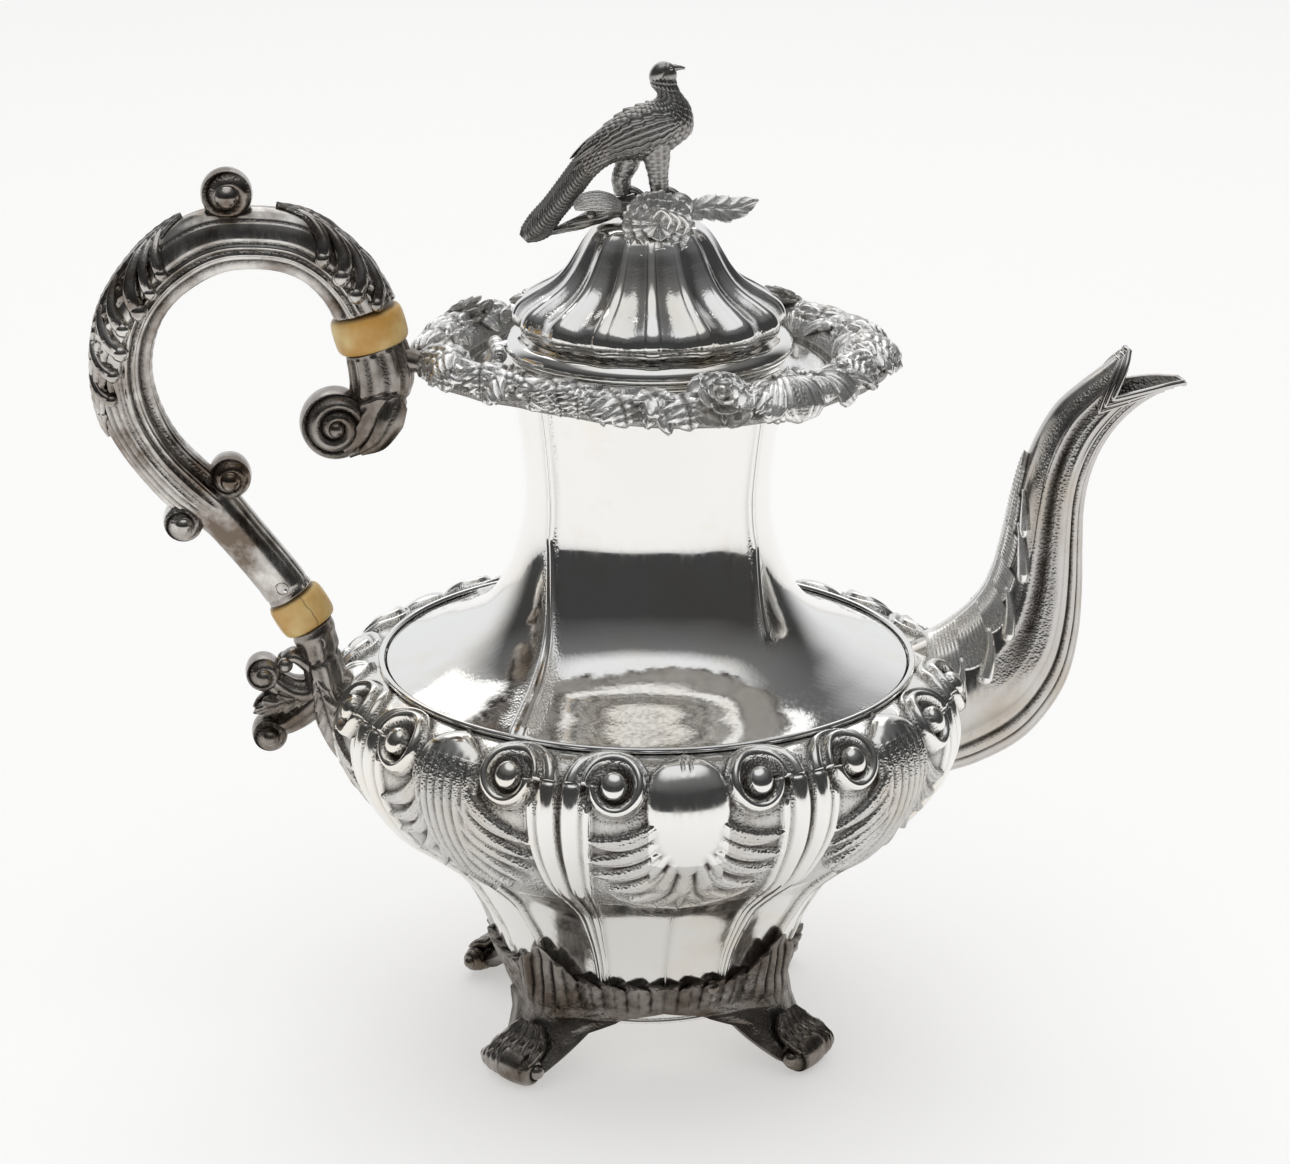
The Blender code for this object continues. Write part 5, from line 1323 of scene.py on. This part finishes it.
def build_lower_socket():
    """The socket on the shoulder with its leafy double scroll."""
    rows, columns = 200, 120
    turn = full_turn(columns)
    along = column(rows)
    relief = 0.3 * np.cos(np.radians(turn * 9.0)) * smooth(along, 0.04, 0.16)
    relief = relief - 0.6 * bump(along - 0.2, 0.02) + 0.4 * bump(along - 0.05, 0.03)
    form = Form()
    form.grid(oval_points(LOWER_SOCKET_STATIONS, along, turn, relief), hollows(relief, 1.7))
    # Two ribbed arms carry the scrolls, and a short stalk stands above them.
    ribbed = 0.25 * np.cos(np.radians(full_turn(28)) * 7) * np.ones((50, 1))
    for run, thinning, flat in (
        ([(-84.0, 0, 101.0), (-88.0, 0, 97.4), (-93.0, 0, 97.8), (-98.0, 0, 101.4)], 4.0, 1.25),
        ([(-84.0, 0, 98.0), (-88.6, 0, 93.8), (-93.4, 0, 90.0), (-97.2, 0, 88.4)], 4.2, 1.2),
    ):
        radii = table(np.linspace(0, 1, 50), (0, 4.8), (0.6, thinning), (1, 3.2))
        form.tube(spline(run, 50), radii, 28, flat=flat, relief=ribbed)
    form.tube(spline([(-85.0, 0, 102.0), (-88.6, 0, 105.6), (-92.0, 0, 107.4), (-94.6, 0, 106.0)], 40),
              table(np.linspace(0, 1, 40), (0, 3.2), (1, 1.7)), 24, flat=1.7)
    scroll(form, (-100.0, 0.0, 103.2), 4.4, 5.2)
    scroll(form, (-98.8, 0.0, 86.6), 4.4, 5.4, sense=-1.0)
    for end in (-1.0, 1.0):
        form.ball((-94.4, end * 2.6, 105.6), 2.0, 12, 20)
        form.leaf([(-88.0, end * 3.6, 97.4), (-94.0, end * 4.6, 96.4), (-99.4, end * 3.8, 94.6),
                   (-103.0, end * 2.4, 92.6)], (0, end, 0.1), 3.0, teeth=4, cut=0.25, arch=0.35,
                  veins=0.8, midrib=0.3, thick=1.8, rows=40, columns=17)
        form.leaf([(-86.6, end * 6.2, 103.0), (-84.6, end * 7.2, 96.0), (-82.4, end * 6.6, 88.0),
                   (-77.6, end * 4.0, 78.4)], (-0.3, end, 0), 3.4, teeth=6, cut=0.2, arch=0.3,
                  veins=0.8, midrib=0.35, thick=1.6, rows=60, columns=17)
    ring_mark(form, (-85.7, 112.3), 5.9, 1.6, 0.4)
    form.make("lower_socket", FOOT_SILVER, "pot", "handle_lower_socket")


def build_rings():
    """Ivory rings between the grip and its sockets, with a cross pin on each side of each ring."""
    for label, start, finish, size, reach, cracks in (
        ("upper", (-69.6, 189.3), (-72.1, 198.5), 9.4, 6.2, ()),
        ("lower", (-87.3, 115.6), (-92.1, 123.9), 7.5, 5.9, (64, 92, 118, 150, 210, 290)),
    ):
        start = np.array([start[0], 0.0, start[1]])
        finish = np.array([finish[0], 0.0, finish[1]])
        along = unit(finish - start)
        across = np.array([along[2], 0.0, -along[0]])
        rows, columns = 30, 288
        t = column(rows)
        place = t * np.linalg.norm(finish - start)
        radius = size - 1.5 + 1.5 * np.clip(1.0 - (2.0 * t - 1.0) ** 6, 0, 1) ** 0.5
        radius = radius + 0.25 * np.sin(math.pi * t) - 0.25
        turn = full_turn(columns)
        crack = np.zeros((rows, columns))
        for index, where in enumerate(cracks):
            bend = 1.6 * np.sin(t * 7.0 + index) + 0.8 * np.sin(t * 19.0 + 2 * index)
            crack += bump((turn - where - bend + 180.0) % 360.0 - 180.0, 0.9)
        crack = np.clip(crack, 0, 1)
        wide = radius - 0.12 * crack
        ring = (
            start + place[..., None] * along + (wide * np.cos(np.radians(turn)))[..., None] * across
            + ((wide - 1.1) * np.sin(np.radians(turn)))[..., None] * np.array([0.0, 1.0, 0.0])
        )
        edge = np.clip(1.0 - np.minimum(t, 1 - t) / 0.06, 0, 1) * 0.7
        form = Form()
        form.grid(ring, np.clip(crack * 0.9 + edge, 0, 1))
        form.make(f"ivory_ring_{label}", IVORY, "pot", f"handle_{label}_insulator")
        for side, at in (("socket", start - along * 3.4), ("grip", finish + along * 3.4)):
            pin(f"pin_{label}_{side}", f"handle_{label}_{side}_pin", (at[0], at[2]), reach)


# ---------------------------------------------------------------- feet
# The foot's half width in degrees, and its outer and inner radius, at heights Z.
FOOT_WIDTH = ((3.0, 8.0), (4.0, 9.0), (8.0, 13.5), (12.8, 19.0), (16.6, 31.0), (18.4, 44.95))
FOOT_OUTER = (
    (3.0, 54.6), (4.0, 53.5), (6.5, 51.6), (8.0, 50.0), (10.0, 47.8), (12.8, 45.8), (16.6, 44.4),
    (18.4, 43.8), (24.0, 43.0), (30.0, 43.8),
)
FOOT_INNER = ((3.0, 48.0), (4.0, 46.0), (8.0, 41.0), (12.8, 38.0), (15.6, 36.4))
APRON_HALF = 44.95  # degrees: four aprons meet all the way round
APRON_LOW = 18.4  # where the leg has widened into the apron
LOBE_STEP = 8.88  # degrees between the lobes of the apron's leafy edge


def lower_ground(z):
    """Radius of the plain lower body at a height."""
    run = spline(LOWER_PROFILE, 300)[::-1]
    return np.interp(z, run[:, 1], run[:, 0])


def build_foot(name, node_name, direction, side):
    """A foot with its leafy apron; direction is in degrees and side is where its toe curls."""
    rows, columns = 150, 241
    v = column(rows)
    u = np.linspace(-1.0, 1.0, columns)[None, :]
    degrees = u * APRON_HALF
    scallop = np.abs(np.cos(math.pi * degrees / LOBE_STEP)) ** 0.6
    crest = 25.4 + 9.0 * bump(degrees, 10.0) + 2.2 * scallop
    leg_z = 3.0 + (APRON_LOW - 3.0) * v / 0.42
    z = np.where(v < 0.42, leg_z, APRON_LOW + (crest - APRON_LOW) * (v - 0.42) / 0.58)
    half = table(z, *FOOT_WIDTH)
    lean = table(z, (12.8, 2.0), (18.0, 0.0))
    angle = direction + u * half - side * lean
    inside = np.where(z < 15.6, table(z, *FOOT_INNER), lower_ground(np.maximum(z, 15.6)) - 0.9)
    away = (angle - direction + side * 2.0) / 12.0
    swell = np.clip(table(z, *FOOT_OUTER) - inside - 2.8, 0.0, None)
    outside = inside + 2.6 + swell * np.exp(-away * away)
    # Leaf lobes with veins that spread from the leg, then a hollow leg with raised edges.
    rise = smooth(v, 0.34, 0.62)
    lobes = (0.9 * scallop - 0.35 * bump(np.mod(degrees / LOBE_STEP + 0.5, 1.0) - 0.5, 0.08)) * rise
    ray = np.arctan2(z - 7.0, degrees * 0.76)
    veins = 0.14 * np.cos(ray * 60.0) * smooth(v, 0.42, 0.6) * smooth(np.abs(u), 0.1, 0.3)
    leg = (0.7 * bump(np.abs(u) - 0.62, 0.16) - 0.9 * bump(u, 0.34)) * (1.0 - smooth(v, 0.3, 0.5))
    centre_leaf = (0.8 * bump(np.abs(degrees) - 6.5, 1.6) - 0.4 * bump(degrees, 1.0)) * smooth(v, 0.3, 0.5)
    relief = (lobes + veins + leg + centre_leaf) * (1.0 - smooth(v, 0.97, 1.0) * 0.4)
    outer = polar(outside + relief, angle, z)
    inner = polar(inside, angle, z)
    hollow = np.clip(hollows(relief, 2.0) + 0.25, 0, 1)
    form = Form()
    form.grid(np.concatenate([outer, inner[:, ::-1]], axis=1),
              np.concatenate([hollow, np.full(hollow.shape, 0.8)], axis=1))
    # Roll at the toe: a spiral at the near end, a ringed shell at the far end.
    turn = math.radians(direction - side * 2.0)
    outward = np.array([math.sin(turn), -math.cos(turn), 0.0])
    tangent = np.array([math.cos(turn), math.sin(turn), 0.0]) * side
    middle = outward * 52.3 + (0.0, 0.0, 4.8)
    scroll(form, middle + tangent * 1.2, 4.5, 6.2, tangent, 1.3, side, 0.46)
    t = np.linspace(0.0, 1.0, 70)
    path = middle + np.outer(table(t, (0, -3.0), (1, -10.6)), tangent)
    path[:, 2] += table(t, (0, -0.1), (1, -0.2))
    rings = 0.35 * np.abs(np.cos(math.pi * t * 3.4)) ** 0.5
    taper = table(t, (0, 4.1), (0.5, 3.6), (0.8, 2.9), (0.93, 2.3), (1, 1.2))
    form.tube(path, taper + rings - 0.2, 40, across=(0, 0, 1))
    form.ball(middle - tangent * 10.3 - (0.0, 0.0, 0.2), 1.7, 12, 20)
    # Small leaves fold from the leg over the roll.
    for swing, width in ((-6.4, 1.9), (-3.4, 2.1), (0.0, 2.3), (3.4, 2.1), (6.2, 1.9)):
        root = outward * 46.4 + tangent * swing * 0.5 + (0.0, 0.0, 14.5)
        bend = outward * 49.4 + tangent * swing * 0.85 + (0.0, 0.0, 10.6)
        over = outward * 52.6 + tangent * swing + (0.0, 0.0, 9.5)
        tip = outward * 55.4 + tangent * swing * 1.1 + (0.0, 0.0, 7.4)
        form.leaf([root, bend, over, tip], outward + (0.0, 0.0, 1.0), width, arch=0.45, veins=0.5,
                  teeth=3, cut=0.12, midrib=0.35, thick=1.6, rows=40, columns=15)
    if side < 0.0:
        # Small boss on the apron next to the leg.
        form.ball(polar(lower_ground(25.0) + 2.0, direction + side * 27.0, 25.6), 1.9, 12, 20)
    form.make(name, FOOT_SILVER, "pot", node_name)


def build_feet():
    """Four feet and the disc that closes the base."""
    for name, node_name, direction, side in (
        ("paw_front_left", "foot_front_left", -45.0, 1.0),
        ("paw_front_right", "foot_front_right", 45.0, -1.0),
        ("paw_rear_right", "foot_rear_right", 135.0, 1.0),
        ("paw_rear_left", "foot_rear_left", 225.0, -1.0),
    ):
        build_foot(name, node_name, direction, side)
    form = Form()
    form.revolved([(0.1, 15.9), (35.4, 15.9), (36.6, 15.5), (36.6, 14.7), (34.0, 14.7), (33.0, 15.1),
                   (12.0, 15.2), (11.4, 14.8), (10.2, 14.8), (9.6, 15.2), (0.1, 15.2)], 120)
    form.make("base_disc", SILVER, "pot", "base_plate")


# ---------------------------------------------------------------- hinge and nut
HINGE_X = -38.6
HINGE_Z = 187.6


def barrel(form, x, z, low, high, radius):
    """A short tube across the pot with rounded ends and a groove at each end."""
    t = np.array([0.0, 0.02, 0.06, 0.12, 0.18, 0.24, 0.3, 0.7, 0.76, 0.82, 0.88, 0.94, 0.98, 1.0])
    shape = np.array([0.3, 0.8, 0.97, 1.0, 0.99, 0.9, 1.0, 1.0, 0.9, 0.99, 1.0, 0.97, 0.8, 0.3])
    path = np.array([(x, low + (high - low) * part, z) for part in t])
    form.tube(path, radius * shape, 32, across=(0, 0, 1))


def build_hinge():
    """Two knuckles on the collar, the rod through them and the lid's lug."""
    x, z = HINGE_X, HINGE_Z
    for name, node_name, low, high in (
        ("knuckle_front", "hinge_knuckle_front", -7.0, -2.6),
        ("knuckle_rear", "hinge_knuckle_rear", 2.6, 7.0),
    ):
        middle = (low + high) / 2.0
        form = Form()
        barrel(form, x, z, low, high, 1.9)
        form.tube(spline([(x - 0.2, middle, z - 0.8), (x - 0.8, middle, z - 3.0),
                          (x - 1.8, middle, z - 5.0)], 10),
                  np.linspace(1.5, 1.9, 10), 24, flat=1.2)
        form.make(name, CAST, "pot", node_name)
    form = Form()
    barrel(form, x, z, -7.6, 7.6, 0.8)
    for end in (-7.4, 7.4):
        form.ball((x, end, z), (1.1, 0.45, 1.1), 10, 20)
    form.make("hinge_rod", SILVER, "pot", "hinge_pin")
    form = Form()
    barrel(form, x, z, -2.3, 2.3, 1.9)
    form.tube(spline([(x + 0.4, 0, z + 0.6), (x + 2.4, 0, z + 1.2), (x + 4.6, 0, z + 1.6)], 10),
              np.linspace(1.2, 1.0, 10), 24, flat=1.8)
    form.make("lid_lug", SILVER, "lid", "lid_knuckle")


def build_nut():
    """The fluted nut that holds the finial under the dome."""
    profile = spline([(0.6, 212.6), (4.6, 212.6), (5.4, 213.4), (5.4, 215.4), (4.6, 216.4),
                      (3.0, 217.6), (0.6, 218.0)], 30)
    form = Form()
    form.revolved(profile, 96, 0.25 * np.cos(np.radians(full_turn(96)) * 6) * np.ones((30, 1)))
    form.make("nut", SILVER, "lid", "finial_nut")


# ---------------------------------------------------------------- studio
FLOOR_RADIUS = 7.0
FLOOR_GLOW = 0.44
ROOM_DARK = 0.05
ROOM_LIGHT = 0.85
# Place, size, watts and whether the silver mirrors it.
LIGHTS = (
    ("rear_softbox", (0.1, 1.9, 2.3), (2.4, 1.6), 12.0, True),
    ("ceiling", (0.0, -0.2, 2.3), (4.4, 4.4), 44.0, False),
    ("front_fill", (-0.3, -2.2, 1.2), (2.0, 1.6), 5.0, False),
)
LIGHT_TARGET = Vector((0.0, 0.0, 0.1))


def build_floor():
    """A round sheet of paper, far wider than the picture."""
    sides = 96
    rim = polar(FLOOR_RADIUS, full_turn(sides)[0], 0.0)
    faces = [(0, 1 + index, 1 + (index + 1) % sides) for index in range(sides)]
    mesh = bpy.data.meshes.new("floor")
    mesh.from_pydata([(0.0, 0.0, 0.0)] + rim.tolist(), [], faces)
    mesh.shade_smooth()
    floor = bpy.data.objects.new("floor", mesh)
    bpy.context.scene.collection.objects.link(floor)
    paper, tree, shader = new_material("pale_paper")
    grain = node(tree, "ShaderNodeTexNoise", Scale=3.0, Detail=2.0)
    ramp = node(tree, "ShaderNodeValToRGB")
    ramp.color_ramp.elements[0].color = (0.60, 0.60, 0.60, 1.0)
    ramp.color_ramp.elements[1].color = (0.64, 0.64, 0.64, 1.0)
    tree.links.new(grain.outputs["Fac"], ramp.inputs["Fac"])
    tree.links.new(ramp.outputs["Color"], shader.inputs["Base Color"])
    shader.inputs["Roughness"].default_value = 0.9
    shader.inputs["Specular IOR Level"].default_value = 0.1
    # The table is lit from below as well, so shadows stay faint.
    shader.inputs["Emission Color"].default_value = (1.0, 0.985, 0.965, 1.0)
    shader.inputs["Emission Strength"].default_value = FLOOR_GLOW
    mesh.materials.append(paper)


def build_lights():
    """Large lamps; the silver mirrors only the rear one."""
    for name, place, size, power, mirrored in LIGHTS:
        light = bpy.data.lights.new(name, "AREA")
        light.shape = "RECTANGLE"
        light.size, light.size_y = size
        light.energy = power
        lamp = bpy.data.objects.new(name, light)
        lamp.location = place
        lamp.rotation_euler = (LIGHT_TARGET - Vector(place)).to_track_quat("-Z", "Y").to_euler()
        lamp.visible_glossy = mirrored
        bpy.context.scene.collection.objects.link(lamp)


def build_room():
    """The room is dark in front of the pot, white behind it and straight above it."""
    world = bpy.data.worlds.new("studio")
    bpy.context.scene.world = world
    world.use_nodes = True
    tree = world.node_tree
    back = tree.nodes["Background"]
    place = node(tree, "ShaderNodeTexCoord")
    split = node(tree, "ShaderNodeSeparateXYZ")
    tree.links.new(place.outputs["Generated"], split.inputs["Vector"])
    eased = {"interpolation_type": "SMOOTHSTEP"}
    behind = remap(tree, split.outputs["Y"], (0.50, 0.0), (0.88, 1.0), **eased)
    above = remap(tree, split.outputs["Z"], (0.78, 0.0), (0.93, 1.0), **eased)
    haze = remap(tree, split.outputs["Z"], (0.45, 0.0), (0.95, 0.20))
    high = combined(tree, "MAXIMUM", above, haze)
    pale = combined(tree, "MAXIMUM", behind, high)
    strength = remap(tree, pale, (0.0, ROOM_DARK), (1.0, ROOM_LIGHT))
    tree.links.new(strength, back.inputs["Strength"])
    back.inputs["Color"].default_value = (0.97, 0.985, 1.0, 1.0)


CAMERA_PITCH = math.radians(18.82)
CAMERA_ROLL = math.radians(0.35)
CAMERA_SWING = math.radians(-7.285)
CAMERA_PLACE = Vector((-0.109, -0.848, 0.4153))
CAMERA_LENS = 96.8


def build_camera():
    """The photograph's view: turned round the pot, pitched down and rolled a little."""
    pitch, roll = CAMERA_PITCH, CAMERA_ROLL
    right = Vector((1.0, 0.0, 0.0))
    forward = Vector((0.0, math.cos(pitch), -math.sin(pitch)))
    up = Vector((0.0, math.sin(pitch), math.cos(pitch)))
    turn = Matrix.Rotation(CAMERA_SWING, 3, "Z")
    x_axis = turn @ (right * math.cos(roll) + up * math.sin(roll))
    y_axis = turn @ (up * math.cos(roll) - right * math.sin(roll))
    z_axis = turn @ -forward
    data = bpy.data.cameras.new("camera")
    data.lens = CAMERA_LENS
    data.sensor_width = 36.0
    camera = bpy.data.objects.new("camera", data)
    placed = Matrix((x_axis, y_axis, z_axis)).transposed().to_4x4()
    placed.translation = CAMERA_PLACE
    camera.matrix_world = placed
    bpy.context.scene.collection.objects.link(camera)
    bpy.context.scene.camera = camera


# ---------------------------------------------------------------- everything
build_lower_body()
build_upper_body()
build_border()
build_mouth()
build_lid()
build_bird()
build_flower()
build_spout()
build_grip()
build_upper_socket()
build_lower_socket()
build_rings()
build_feet()
build_hinge()
build_nut()
build_floor()
build_lights()
build_room()
build_camera()

bpy.context.scene.view_settings.view_transform = "Standard"
